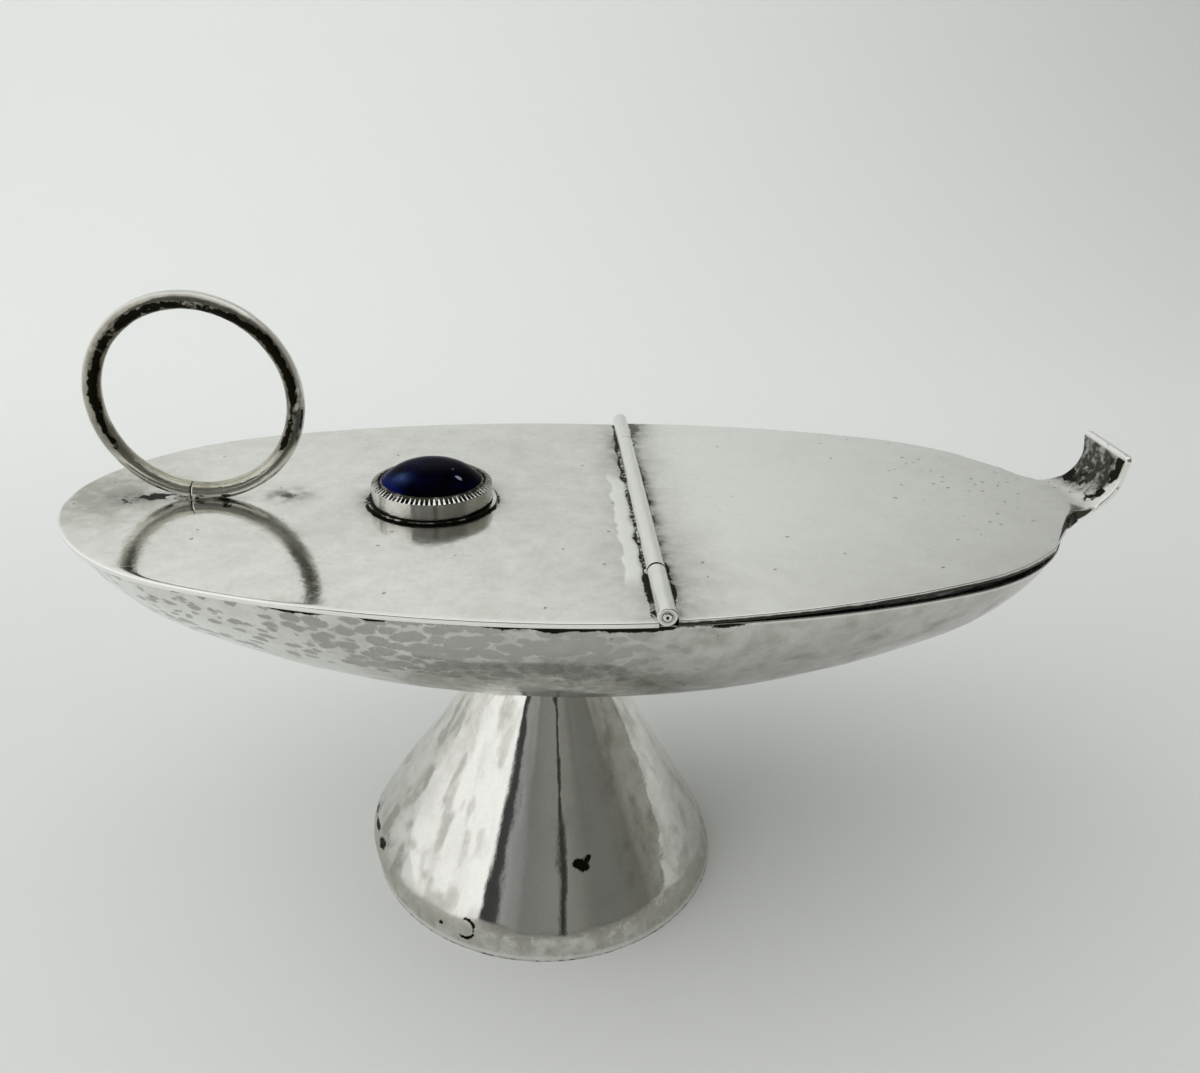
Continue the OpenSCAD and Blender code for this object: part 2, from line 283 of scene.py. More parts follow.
def grid_quads(rows, columns, wrap=(False, False)):
    """Quads between the neighbours of a grid, joined round it where it wraps."""
    index = np.arange(rows * columns).reshape(rows, columns)
    index = np.vstack([index, index[:1]]) if wrap[0] else index
    index = np.hstack([index, index[:, :1]]) if wrap[1] else index
    corners = [index[:-1, :-1], index[1:, :-1], index[1:, 1:], index[:-1, 1:]]
    return np.stack(corners, -1).reshape(-1, 4).tolist()


def add_object(name, data):
    """An object put into the scene."""
    thing = bpy.data.objects.new(name, data)
    bpy.context.scene.collection.objects.link(thing)
    return thing


def make_piece(name, points, marks, finish, body, nodes=(), wrap=TUBE):
    """A piece from a grid of points in millimetres, painted with its marks. Doubles at poles and seams are
    merged, and normals point outwards."""
    rows, columns = points.shape[:2]
    mesh = bpy.data.meshes.new(name)
    mesh.from_pydata((points.reshape(-1, 3) * MM).tolist(), [], grid_quads(rows, columns, wrap))
    for mark, values in marks.items():
        layer = mesh.attributes.new(mark, "FLOAT", "POINT")
        layer.data.foreach_set("value", np.broadcast_to(values, (rows, columns)).ravel().astype(np.float32))
    shell = bmesh.new()
    shell.from_mesh(mesh)
    bmesh.ops.remove_doubles(shell, verts=shell.verts, dist=MERGE_GAP * MM)
    bmesh.ops.recalc_face_normals(shell, faces=shell.faces)
    shell.to_mesh(mesh)
    shell.free()
    mesh.polygons.foreach_set("use_smooth", np.ones(len(mesh.polygons), bool))
    mesh.set_sharp_from_angle(angle=EDGE_ANGLE)
    mesh.materials.append(finish)
    piece = add_object(name, mesh)
    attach(piece, body)
    if nodes:
        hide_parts(*nodes)


def full_turn(steps):
    """Even steps of angle round a full turn."""
    return np.linspace(0, 2 * np.pi, steps, endpoint=False)


def grid_points(x, y, z):
    """A grid of points from three coordinates, each spread over the whole grid."""
    return np.stack(np.broadcast_arrays(x, y, z), -1)


def turned(radius, height, centre_x, steps):
    """A profile of radius against height, turned about an upright axis at centre_x."""
    around = full_turn(steps)[:, None]
    return grid_points(centre_x + radius * np.cos(around), radius * np.sin(around), height)


def turned_on_hinge(radius, along_y, steps):
    """A profile of radius against distance along Y, turned about the hinge axis."""
    around = full_turn(steps)[:, None]
    return grid_points(hinge_x + radius * np.cos(around), along_y, hinge_z + radius * np.sin(around))


def swung_ajar(points):
    """Points of the shut lid, turned about the hinge axis to the ajar rest."""
    over, up = points[..., 0] - hinge_x, points[..., 2] - hinge_z
    c, s = math.cos(LID_AJAR), math.sin(LID_AJAR)
    return grid_points(hinge_x + over * c - up * s, points[..., 1], hinge_z + over * s + up * c)


# Shapes: hull


def keel_radius(along, grow=0.0):
    """Distance of the hull's skin from its long axis: one long arc amidships and a tighter tangent arc at
    each end, all grown outwards."""
    reach = np.abs(along)
    middle = keel_out + np.sqrt(np.maximum((keel_r + grow) ** 2 - reach ** 2, 0))
    bow = bow_out + np.sqrt(np.maximum((BOW_R + grow) ** 2 - (reach - bow_along) ** 2, 0))
    return np.where(reach < (keel_r + grow) * blend_share, middle, bow)


def half_width(along, drop, grow=0.0):
    """Half-width of the grown skin at a drop below the long axis: half a chord of the section's circle."""
    return np.sqrt(np.maximum(keel_radius(along, grow) ** 2 - drop ** 2, 0))


def tip_reach(drop, grow=0.0):
    """Distance from amidships to the tip of the grown skin at a drop below the long axis."""
    return bow_along + np.sqrt((BOW_R + grow) ** 2 - (drop - bow_out) ** 2)


def hull_underside(x, y):
    """Height of the hull's outside over a point of the plan."""
    return axis_z - np.sqrt(keel_radius(x - hull_x) ** 2 - y ** 2)


def hull_shell():
    """The raised bowl: rows run from tip to tip, closing on a sine, and columns run along the outside from
    rim to rim, over the eased rim and back along the inside. Blows dent the outside inwards."""
    even = np.linspace(-1, 1, HULL_OUTER)
    outer = (even + np.sin(even * np.pi / 2)) / 2
    inner = np.linspace(1, -1, HULL_INNER)
    rim = np.ones(2)
    swing = np.concatenate([outer, rim, inner, -rim])[None, :]
    over_rim = np.array([RIM_EASE, HULL_WALL - RIM_EASE])
    grow = -np.concatenate([0 * outer, over_rim, HULL_WALL + 0 * inner, over_rim[::-1]])[None, :]
    dip = np.concatenate([RIM_EASE + 0 * outer, 0 * rim, RIM_EASE + 0 * inner, 0 * rim])[None, :]
    run = np.sin(np.linspace(-1, 1, HULL_ROWS) * np.pi / 2)[:, None]
    along = run * tip_reach(axis_up, grow)
    radius = keel_radius(along, grow)
    rim_angle = np.arccos(np.minimum(1, (axis_up + dip) / radius))
    angle = swing * rim_angle
    slope = np.gradient(radius[:, 0], along[:, 0], edge_order=1)[:, None]
    lean = 1 / np.sqrt(1 + slope ** 2)

    # Relief on the outside alone, gone at the rim
    x = hull_x + along
    walk = np.concatenate([[0], np.cumsum(np.hypot(np.diff(along[:, 0]), np.diff(radius[:, 0])))])[:, None]
    girth = radius * angle
    rim_gap = radius * rim_angle - np.abs(girth)
    outside = (grow == 0) * smooth(0.3, 3.0, rim_gap)
    ringward = smooth(20, -35, x)
    dents = (BLOW_DEPTH + RING_SIDE_DEPTH * ringward) * blows(walk, girth, BLOW_PITCH, 3)
    dents = dents + FINE_DEPTH * blows(walk, girth, FINE_PITCH, 21)
    waves = HULL_WAVE * (clouds(walk / 19, girth / 13, 7) - 0.5)
    relief = outside * (waves - dents)
    raised = radius + relief * lean
    points = grid_points(x - relief * slope * lean, raised * np.sin(angle), axis_z - raised * np.cos(angle))

    # Soot under the lid's edge, partly painted shadow, and soot round the foot, dapples on the ring's side,
    # a painted dark reflection over the foot, and painted shade inside the bowl, darkest towards the rim
    height = points[..., 2]
    outer_skin = (grow == 0) + 0 * angle
    inner_skin = (grow < -0.5 * HULL_WALL) + 0 * angle
    ragged = smooth(0.30, 0.70, clouds(walk / 6, girth / 3, 11))
    # Ragged soot along the rim, partly painted shadow under the lid's edge, fading out towards the thumb
    soot_and_shadow = bell(rim_gap, 0, 0.34 + 0.75 * ragged) * (0.50 + 0.50 * ragged) * (0.58 + 0.62 * bell(x, -6, 34))
    soot_and_shadow = soot_and_shadow * smooth(38, 16, x)
    rub_and_reflection = smooth(14, 28, x) * bell(rim_gap, 0, 0.35)
    joint_gap = np.hypot(x, points[..., 1]) - FOOT_TOP_R
    soot_and_shadow = soot_and_shadow + (height < rim_z - 20) * bell(joint_gap, 0, 0.5)
    dapple = 0.70 + 0.32 * smooth(-46, -14, x) + 0.30 * (clouds(walk / 6, girth / 6, 15) - 0.5)
    dapple = dapple * smooth(30, 4, x) * smooth(53, 58, height)
    # A painted dark reflection on the lower hull over the foot, up to a wavering top edge
    dark_reflection_top = DARK_REFLECTION_TOP - 10.5 * smooth(6, 20.5, x) + 1.2 * (cloud(walk / 6, 0 * walk, 17) - 0.5)
    dark_reflection = 0.42 * smooth(-30, -8, x) * smooth(0.35, -0.35, height - dark_reflection_top)
    blots = smooth(0.5, 0.8, clouds(walk / 5, girth / 4, 19)) * smooth(10, 30, x)
    shade = 0.55 * smooth(-40, 12, x) + 0.35 * blots
    haze = 0.15 * smooth(60, 54, height) * ringward
    marks = {"soot_and_shadow": soot_and_shadow, "dapple": dapple, "smoke_shade_and_reflection": dark_reflection, "shade": shade, "haze": haze, "rub_and_reflection": rub_and_reflection}
    marks = {mark: amount * outer_skin for mark, amount in marks.items()}
    # Painted shade inside the bowl: a dark film all over, heavier and then black towards the rim
    near_rim = inner_skin * smooth(rim_z - 12, rim_z - 3, height)
    marks["smoke_shade_and_reflection"] = marks["smoke_shade_and_reflection"] + 0.35 * inner_skin + 1.5 * near_rim
    marks["soot_and_shadow"] = marks["soot_and_shadow"] + 0.9 * inner_skin * smooth(rim_z - 5, rim_z - 2, height)
    return points, marks


# Shapes: foot


def foot_radius(z, inset=0.0):
    """Radius of the foot's side at a height: an upright turn at the base, then its tangent."""
    turn_x = foot_r - FOOT_TURN_R
    reach = math.hypot(FOOT_TOP_R - turn_x, foot_h)
    rake = math.atan2(foot_h, FOOT_TOP_R - turn_x) - math.acos(FOOT_TURN_R / reach)
    turn_r = FOOT_TURN_R - inset
    turn_top = turn_r * math.sin(rake)
    low = turn_x + np.sqrt(np.maximum(turn_r ** 2 - z ** 2, 0))
    side = turn_x + turn_r * math.cos(rake) - (z - turn_top) * math.tan(rake)
    return np.where(z < turn_top, low, side)


def banded_radius(z):
    """Radius of the foot's outside: the straight side, met at a soft crease by a steeper band at the base."""
    band = foot_r - BAND_INSET - z * math.tan(BAND_TILT)
    crease_z = FOOT_TURN_R / 2
    side = foot_radius(np.maximum(z, crease_z)) + np.maximum(0, crease_z - z) * BAND_SLOPE
    gap = band - side
    return side + (gap - np.sqrt(gap ** 2 + BAND_SOFT ** 2)) / 2


def foot_shell():
    """The hammered cone: rows go round the axis, and columns go up the outside, over the top edge, which
    follows the hull, and down the inside. The ring's side is swollen, most of all towards the back, and all
    of the outside is drawn into soft flutes."""
    around = full_turn(FOOT_ROWS)[:, None]
    top = np.full_like(around, foot_h)
    for _ in range(8):
        reach = foot_radius(top)
        top = hull_underside(reach * np.cos(around), reach * np.sin(around))
    outer = np.concatenate([np.linspace(0, 0.15, 30), np.linspace(0.15, 1, 121)[1:]])
    inner = np.linspace(1, 0, 30)
    is_outer = np.concatenate([outer * 0 + 1, inner * 0])[None, :]
    share = np.concatenate([outer, inner])[None, :]
    z = top * share
    radius = np.where(is_outer > 0, banded_radius(z), foot_radius(z, FOOT_WALL))
    toward_ring = (0.5 - 0.5 * np.cos(around)) ** 2.5
    swollen = (0.5 - 0.5 * np.cos(around + SWELL_TURN)) ** SWELL_POWER
    swell = SWELL_LOW * smooth(0, 4.8, z) * smooth(29, 6.6, z) + SWELL_SIDE * smooth(-2, 3, z)
    radius = radius + swollen * swell * smooth(foot_h + 1, foot_h - 4, z)
    turn = around / (2 * np.pi)
    flutes = FLUTE_DEPTH * (clouds(turn * 22, z / 30, 31) - 0.5)
    flutes = flutes + FLUTE_FINE * (clouds(turn * 36, z / 16, 35) - 0.5)
    dents = FOOT_BLOW_DEPTH * blows(around * 20, z, FOOT_BLOW_PITCH, 41)
    keep = is_outer * smooth(0, 4, z) * smooth(0, 3, top - z)
    radius = radius + keep * (flutes - dents)
    solder = FOOT_SOLDER_W * np.maximum(0, 1 - (top - z) / FOOT_SOLDER_H) ** 2
    radius = radius + is_outer * solder
    points = grid_points(radius * np.cos(around), radius * np.sin(around), z)

    # A dull band at the base, dull streaks towards the ring, a burnt patch, dark spots and a few dashes
    streaks = smooth(0.42, 0.72, clouds(turn * 60 + z / 14, z / 9, 45)) * smooth(0.35, 0.75, toward_ring)
    band_edge = z + 2 * clouds(turn * 40, z / 3, 47) - 1
    haze = np.maximum(0.85 * smooth(5.4, 4.2, band_edge), 0.45 * streaks)
    soot_and_shadow = bell(top - z, 0, 0.5) + 0.55 * bell(z, 0, 0.3)
    for place, reach in FOOT_MARKS:
        soot_and_shadow = soot_and_shadow + 0.95 * mark_at(points, place, reach)
    for dash_z, tall, dash_turn, wide in FOOT_DASHES:
        soot_and_shadow = soot_and_shadow + 0.85 * bell(z, dash_z, tall) * bell(around, np.pi + dash_turn, wide)
    blotch_gap = np.linalg.norm(points - np.array(FOOT_BLOTCH), axis=-1)
    soot_and_shadow = soot_and_shadow + 0.75 * bell(blotch_gap, 1.6, 0.5) * smooth(0.35, 0.7, clouds(turn * 150, z / 1.2, 49))
    mottle = smooth(0.52, 0.72, clouds(turn * 60, z / 5, 48))
    shade = 0.60 * bell(blotch_gap, 0, 1.7) + 0.65 * mottle * smooth(0.3, 0.6, toward_ring)
    shade = shade + 0.45 * smooth(0.72, 0.95, toward_ring)
    shade = shade + (0.42 + 0.3 * mottle) * smooth(0.62, 0.90, np.cos(around + 0.35))
    rub_and_reflection = 0.9 * bell(z, 0.5, 0.35)
    marks = {"soot_and_shadow": soot_and_shadow, "haze": haze, "shade": shade, "rub_and_reflection": rub_and_reflection}
    return points, {mark: amount * is_outer for mark, amount in marks.items()}


# Shapes: lids


def plate_loop(count):
    """Columns round a plate's section: along the top, round one eased edge, back underneath and round the
    other. Gives the share of the half-width, the reach past the eased line and the lift, for each column."""
    flat = np.linspace(-1, 1, count)
    quarter = np.linspace(0, np.pi / 2, 4)
    reach = LID_EDGE_EASE * np.concatenate([np.sin(quarter[1:]), np.cos(quarter[:-1])])
    straight = lid_t / 2 - LID_EDGE_EASE
    lift = np.concatenate([straight + LID_EDGE_EASE * np.cos(quarter[1:]),
                           -straight - LID_EDGE_EASE * np.sin(quarter[:-1])])
    share = np.concatenate([flat, np.ones(6), flat[::-1], -np.ones(6)])
    past = np.concatenate([0 * flat, reach, 0 * flat, reach[::-1]])
    rise = np.concatenate([lid_t / 2 + 0 * flat, lift, -lid_t / 2 + 0 * flat, lift[::-1]])
    return share[None, :], past[None, :], rise[None, :]


def lid_waves(x, y, seed):
    """Slight unevenness of planished sheet."""
    wave = LID_WAVE * (clouds(x / 26, y / 26, seed) - 0.5)
    return wave + LID_RIPPLE * (clouds(x / 6, y / 6, seed + 4) - 0.5)


def fixed_lid_shell():
    """The fixed half lid: rows run from the hinge to the ring's tip, closing on a sine, and columns go round
    the plate. Its edge falls away a little all round."""
    share, past, rise = plate_loop(FIXED_COLUMNS)
    drop = axis_up - lid_t / 2
    start = hinge_x - hull_x - tube_r * 0.75
    close = np.linspace(0, FINE_ROWS, 60, endpoint=False)
    rest = FINE_ROWS + (1 - FINE_ROWS) * np.sin(np.linspace(0, 1, 180) * np.pi / 2)
    run = np.concatenate([[0], close, rest])[:, None]
    grow = LID_OVERHANG - LID_EDGE_EASE + past
    along = start - run * (start + tip_reach(drop, grow))
    y = share * half_width(along, drop, grow)
    x = hull_x + along
    edge = half_width(along, drop, grow) - np.abs(y)
    ends = tip_reach(drop, grow) + along
    fall = EDGE_FALL * smooth(0.7, 0.0, np.minimum(edge, ends))
    lift = rise - fall + lid_waves(x, y, 51)
    lift[0] = 0
    points = grid_points(x, y, rim_z + lid_t / 2 + lift)

    # Soot beside the hinge, under the ring and round the bezel, smoke about it, and a painted reflection of
    # the hinge tube as a bright strip beside it
    patchy = clouds(x / 4, y / 4, 61)
    beside = hinge_x - tube_foot - x
    wander = cloud(y / 3.5, 0 * y, 63)
    trench = 0.30 + 0.75 * wander + 0.15 * smooth(-12, -26, y)
    soot_and_shadow = smooth(trench + 0.6, trench - 0.4, beside) * (0.56 + 0.40 * cloud(y / 6, 0 * y + 3, 64))
    soot_and_shadow = soot_and_shadow * smooth(0.1, 0.9, edge)
    smoke_shade_and_reflection = bell(beside, 0, 2.3) * (0.18 + 0.55 * smooth(4, 22, y) * smooth(0.25, 0.7, patchy))
    seat = np.hypot((x - RING_SEAT_X) / 5.0, y / 1.4)
    soot_and_shadow = soot_and_shadow + 0.95 * bell(seat, 1.0, 0.42) * smooth(0.30, 0.65, patchy)
    fine = clouds(x / 1.3, y / 1.3, 67)
    smudge = bell(x, RING_SEAT_X - 9.5, 4.8) * bell(y, -0.4, 3.2)
    soot_and_shadow = soot_and_shadow + 0.60 * bell(x, RING_SEAT_X - 5.4, 2.0) * bell(y, 0.3, 1.0)
    soot_and_shadow = soot_and_shadow + 0.75 * smudge * smooth(0.25, 0.65, fine)
    smoke_shade_and_reflection = smoke_shade_and_reflection + 0.9 * bell(x, RING_SEAT_X + 14.2, 3.4) * bell(y, 1.3, 2.8) * smooth(0.15, 0.6, fine)
    smoke_shade_and_reflection = smoke_shade_and_reflection + 0.50 * smudge + 0.30 * bell(seat, 1.0, 0.8)
    bezel_gap = np.hypot(x - bezel_x, y) - plate_r
    soot_and_shadow = soot_and_shadow + bell(bezel_gap, 0, 0.25 + 0.45 * cloud(x / 1.7, y / 1.7, 66))
    smoke_shade_and_reflection = smoke_shade_and_reflection + 0.5 * bell(bezel_gap, 0, 1.3)
    shade = 0.22 + 0.85 * smooth(-56, -70, x) * bell(y, 1, 11) + 0.25 * bell(bezel_gap, 0, 4)
    shade = shade + 0.25 * bell(beside, 0, 5)
    # A painted reflection of the hinge tube: a bright strip beside the soot line along most of the hinge
    tube_reflection_end = 3.1 + 0.5 * wander + 0.6 * (cloud(y / 1.5, 0 * y, 68) - 0.5)
    tube_reflection = 1.1 * smooth(trench, trench + 0.5, beside) * smooth(tube_reflection_end, tube_reflection_end - 0.35, beside)
    tube_reflection = tube_reflection * smooth(-31, -26, y) * smooth(14, 9, y)
    rub_and_reflection = np.maximum(tube_reflection, smooth(0.5, 0.0, np.minimum(edge, ends)))
    sand = 0.012 + 0.08 * smooth(0.50, 0.75, patchy) + 0.3 * smudge
    return points, {"soot_and_shadow": soot_and_shadow, "smoke_shade_and_reflection": smoke_shade_and_reflection, "shade": shade, "rub_and_reflection": rub_and_reflection, "sand": sand}


def thumb_path(s):
    """Middle line of the moving lid against the distance past the curl's start: level, then a quarter turn
    upwards, then upright. Gives x and z."""
    bend = CURL_R + lid_t / 2
    angle = np.clip(s / bend, 0, np.pi / 2)
    above = np.maximum(0, s - bend * np.pi / 2)
    x = curl_x + np.minimum(s, 0) + bend * np.sin(angle)
    z = rim_z + LID_GAP + lid_t / 2 + bend * (1 - np.cos(angle)) + above
    return x, z


def thumb_plan(s):
    """Half-width of the moving lid up to its crease: the hull's outline, then a straight shoulder that rounds
    into the neck, least at the waist and flaring to the lip. The rounding is a hyperbola between the two."""
    x = curl_x + s
    drop = axis_up - lid_t / 2
    outline = half_width(np.minimum(x - hull_x, tip_reach(drop, LID_OVERHANG)), drop, LID_OVERHANG)
    shoulder = np.minimum(outline, SHOULDER_Y - SHOULDER_SLOPE * (x - SHOULDER_X))
    shoulder = np.where(x < SHOULDER_X - 2, outline, shoulder)
    neck = THUMB_WAIST + THUMB_FLARE * np.maximum(0, s - THUMB_WAIST_AT) ** 2
    soften = SHOULDER_ROUND * smooth(-16, -7, s)
    return (shoulder + neck) / 2 + np.sqrt(((shoulder - neck) / 2) ** 2 + soften ** 2)


def thumb_flank(s):
    """Width of the crescent of sheet beyond the crease, which is turned down, on each side of the neck."""
    return FLANK_W * bell(s, -2.4, 4.8) * smooth(-10, -8, s) * smooth(5.0, -1.0, s)


def moving_half(s):
    """Half-width of the moving lid along its sheet, with the crescent, and the lip's corners rounded off."""
    corner = np.maximum(0, s - (THUMB_END - LIP_CORNER))
    rounding = LIP_CORNER - np.sqrt(np.maximum(LIP_CORNER ** 2 - corner ** 2, 0))
    return thumb_plan(s) + thumb_flank(s) - rounding


def crease_half(s):
    """Half-width of the moving lid's flat part, no less than the hull's rim and a little room to shut."""
    rim_half = half_width(np.minimum(curl_x + s - hull_x, tip_reach(axis_up)), axis_up)
    return np.maximum(thumb_plan(s), (rim_half + CREASE_CLEAR) * smooth(0.5, -1.0, s))


def moving_middle(s, side):
    """Middle surface of the moving lid, from the distance along it and the distance across its sheet. Past
    the crease the sheet turns down by the flank's tilt."""
    x, z = thumb_path(s)
    extra = np.maximum(0, np.abs(side) - crease_half(s)) * smooth(5, 3, s) * smooth(-7, -4.5, s)
    bent = extra ** 2 / (extra + 0.12)
    angle = np.clip(s / (CURL_R + lid_t / 2), 0, np.pi / 2)
    lift = lid_waves(x + z, side, 71) - bent * math.sin(FLANK_TILT)
    y = np.sign(side) * (np.abs(side) - bent * (1 - math.cos(FLANK_TILT)))
    return grid_points(x - lift * np.sin(angle), y, z + lift * np.cos(angle))


def moving_lid_shell():
    """The hinged half lid, its neck and its curled lip as one sheet: rows run from the hinge to the lip's
    end, and columns go round the plate, set off from the middle surface along its normal."""
    share, past, rise = plate_loop(MOVING_COLUMNS)
    start = hinge_x + tube_r + HINGE_CLEAR - curl_x
    by_hinge = np.linspace(start, start + 6, 45, endpoint=False)
    flat = np.concatenate([by_hinge, np.linspace(start + 6, NECK_START, 65)])
    lip_from = THUMB_END - LID_EDGE_EASE
    bend = np.linspace(NECK_START, lip_from, 150)[1:]
    quarter = np.linspace(0, np.pi / 2, 5)[1:]
    lip = lip_from + LID_EDGE_EASE * np.sin(quarter)
    s = np.concatenate([flat[:1], flat, bend, lip, [THUMB_END]])[:, None]
    shrink = np.zeros_like(s)
    shrink[-5:-1, 0] = LID_EDGE_EASE * (1 - np.cos(quarter))
    shrink[-1] = LID_EDGE_EASE
    on_edge = np.abs(share) == 1
    across = share * (moving_half(s) - LID_EDGE_EASE) + np.sign(share) * (past - shrink) * on_edge
    lift = np.sign(rise) * np.maximum(0, np.abs(rise) - shrink) + 0 * s
    lift[0] = 0
    lift[-1] = 0
    step = 0.02
    ahead = moving_middle(s + step, across) - moving_middle(s - step, across)
    aside = moving_middle(s, across + step) - moving_middle(s, across - step)
    normal = np.cross(ahead, aside)
    normal = normal / np.linalg.norm(normal, axis=-1, keepdims=True)
    points = moving_middle(s, across) + lift[..., None] * normal

    # Soot beside the hinge with a smoky film, partly painted shadow of the tube, the smoked hollow of the
    # lip, painted dark reflections on the crescents, rubbed edges, a painted darker front, and painted shade
    # underneath, darkest along its edge
    x, y = points[..., 0], points[..., 1]
    upper = rise > 0
    edge = moving_half(s) - np.abs(across)
    beside = x - hinge_x - tube_foot
    wander = cloud(y / 4, 0 * y, 81)
    line = 0.30 + 0.50 * wander + 0.4 * smooth(-18, -29, y) * wander
    soot_and_shadow = smooth(line + 0.6, line - 0.4, beside) * (0.54 + 0.42 * cloud(y / 7, 0 * y, 82))
    # A smoky film beside the hinge, partly painted shadow of the tube: darkest against it, fading out, wider
    # at the back
    smoke_shade_and_reflection = (0.35 + 0.45 * wander) * bell(beside, 0.2, 1.3) + 0.22 * bell(beside, 0, 3.4)
    smoke_shade_and_reflection = smoke_shade_and_reflection + 0.75 * bell(beside, 0.5, 3.4) * smooth(25, 37, y)
    sand = 0.015 + 0.8 * smooth(50, 84, x) * smooth(0.40, 0.70, clouds(x / 5, y / 5, 86))
    mottle = clouds(s / 1.3, across / 1.3, 83)
    neck = bell(s, 3.2, 3.6) * smooth(7.0, 4.5, np.abs(across))
    soot_and_shadow = soot_and_shadow + 0.34 * neck
    smoke_shade_and_reflection = smoke_shade_and_reflection + 0.20 * neck
    front_strip = 0.15 + 1.6 * smooth(9.5, 6.5, s)
    hollow = smooth(2.0, 6.0, s + 0.25 * across) * smooth(0, 0.9, across + thumb_plan(s) - front_strip)
    hollow = hollow * smooth(THUMB_END - 0.6, THUMB_END - 1.1, s)
    smoke_shade_and_reflection = smoke_shade_and_reflection + hollow * (0.62 + 0.75 * mottle)
    corner = bell(across + thumb_plan(s), 1.2, 2.0) * smooth(7.0, 9.5, s)
    soot_and_shadow = soot_and_shadow + hollow * (0.30 + 0.75 * corner) * smooth(0.25, 0.60, mottle + 0.3 * corner)
    band = bell(across, -3.8 - 0.25 * (s - 5), 0.9) * bell(s, 5.4, 2.6)
    soot_and_shadow = soot_and_shadow + 1.0 * band * smooth(0.15, 0.50, mottle)
    soot_and_shadow = soot_and_shadow + 0.8 * bell(across, 5.6, 0.9) * bell(s, 4.0, 1.4) * smooth(0.3, 0.6, mottle)
    dark_from = np.where(across < 0, thumb_plan(s), crease_half(s) + 2 * smooth(-5.5, -8, s))
    # Painted dark reflection on the turned-down crescents beside the neck
    crescent = smooth(-0.05, 0.20, np.abs(across) - dark_from) * smooth(0.05, 0.25, edge)
    smoke_shade_and_reflection = smoke_shade_and_reflection + 1.6 * crescent * (thumb_flank(s) > 0.1)
    shade = 0.20 * smooth(50, 84, x) * smooth(26, 4, np.abs(y))
    # Painted shade: the lid darker towards the front; also a little darker beside the hinge
    shade = shade + 0.2 * bell(beside, 0, 5) + 0.28 * smooth(-6, -32, y)
    shade = shade + 0.25 * smooth(0.55, 0.8, clouds(x / 3, y / 3, 85)) * smooth(60, 80, x)
    rub_and_reflection = np.maximum(smooth(0.6, 0.0, edge), smooth(THUMB_END - 1.0, THUMB_END - 0.4, s))
    rub_and_reflection = np.maximum(rub_and_reflection, 0.5 * smooth(4, 12, beside))
    # Painted shade underneath: a darker film, darkest near the edge, and black along the lower edges of the
    # flat part
    under = (rise < 0) * smooth(2, -4, s) * smooth(0.3, 1.0, edge)
    lower_edge = (rise < 0) * on_edge * smooth(-2, -8, s)
    smoke_shade_and_reflection = upper * smoke_shade_and_reflection + under * (0.15 + 1.6 * smooth(9, 2, edge)) + 2.2 * lower_edge
    shade = shade + 0.6 * under
    marks = {"soot_and_shadow": upper * soot_and_shadow, "smoke_shade_and_reflection": smoke_shade_and_reflection, "shade": shade, "rub_and_reflection": rub_and_reflection, "sand": upper * sand}
    return swung_ajar(points), {mark: amount + 0 * soot_and_shadow for mark, amount in marks.items()}


# Shapes: ring, bezel, stone and hinge


def ring_torus():
    """The ring of wire: rows go round the ring from its joint at the bottom, and columns round the wire. The
    wire is a little uneven, nicked at its joint and flat where it meets the lid."""
    run = full_turn(RING_ROWS)[:, None]
    turn = RING_JOINT_TURN + run
    wind = full_turn(RING_COLUMNS)[None, :]
    arc = np.minimum(run, 2 * np.pi - run) * ring_r
    hill = np.abs(run / np.pi - 1) * 9
    wire = RING_WIRE / 2 * (1 + 0.05 * (clouds(hill * 1.3, wind * 0, 91) - 0.5))
    wire = wire - RING_NICK * bell(arc, 0, 0.13)
    wire = wire - 0.05 * blows(run * ring_r, np.abs(wind - np.pi) * 1.4, 2.2, 93)
    reach = ring_r + wire * np.cos(wind)
    x = ring_x - reach * np.sin(turn)
    y = -wire * np.sin(wind)
    z = np.maximum(ring_z - reach * np.cos(turn), lid_top)
    points = grid_points(x, y, z)

    # Black left in the inner side of both flanks, but for the bottom of the ring, and smoke over the rest
    hour = (turn / (2 * np.pi)) % 1
    flank = np.pi - np.abs(wind - np.pi)
    right = smooth(0.55, 0.64, hour) * smooth(0.84, 0.76, hour)
    side = bell(flank, 2.05 - 0.50 * right, 0.72)
    burnt = smooth(0.11, 0.19, np.minimum(hour, 1 - hour))
    patch = clouds(run * ring_r / 2.2, flank * 1.5, 95)
    broken = clouds(run * ring_r / 6.5, flank * 0.6, 98)
    soot_and_shadow = side * burnt * (0.04 + 0.70 * patch + 0.70 * broken) + bell(arc, 0, 0.14)
    soot_and_shadow = soot_and_shadow + 0.6 * bell(np.abs(x - RING_SEAT_X), 5.0, 1.2) * (z < lid_top + 1.2)
    smoke_shade_and_reflection = 0.50 * burnt * bell(flank, 2.7, 0.6) + 0.50 * burnt * bell(flank, 1.6, 0.8)
    rub_and_reflection = 0.9 * bell(flank, 0.45, 0.40) + 0.6 * (1 - burnt) * bell(flank, 1.4, 0.5)
    marks = {"soot_and_shadow": soot_and_shadow, "smoke_shade_and_reflection": smoke_shade_and_reflection, "rub_and_reflection": rub_and_reflection}
    return points, {mark: amount + 0 * y for mark, amount in marks.items()}


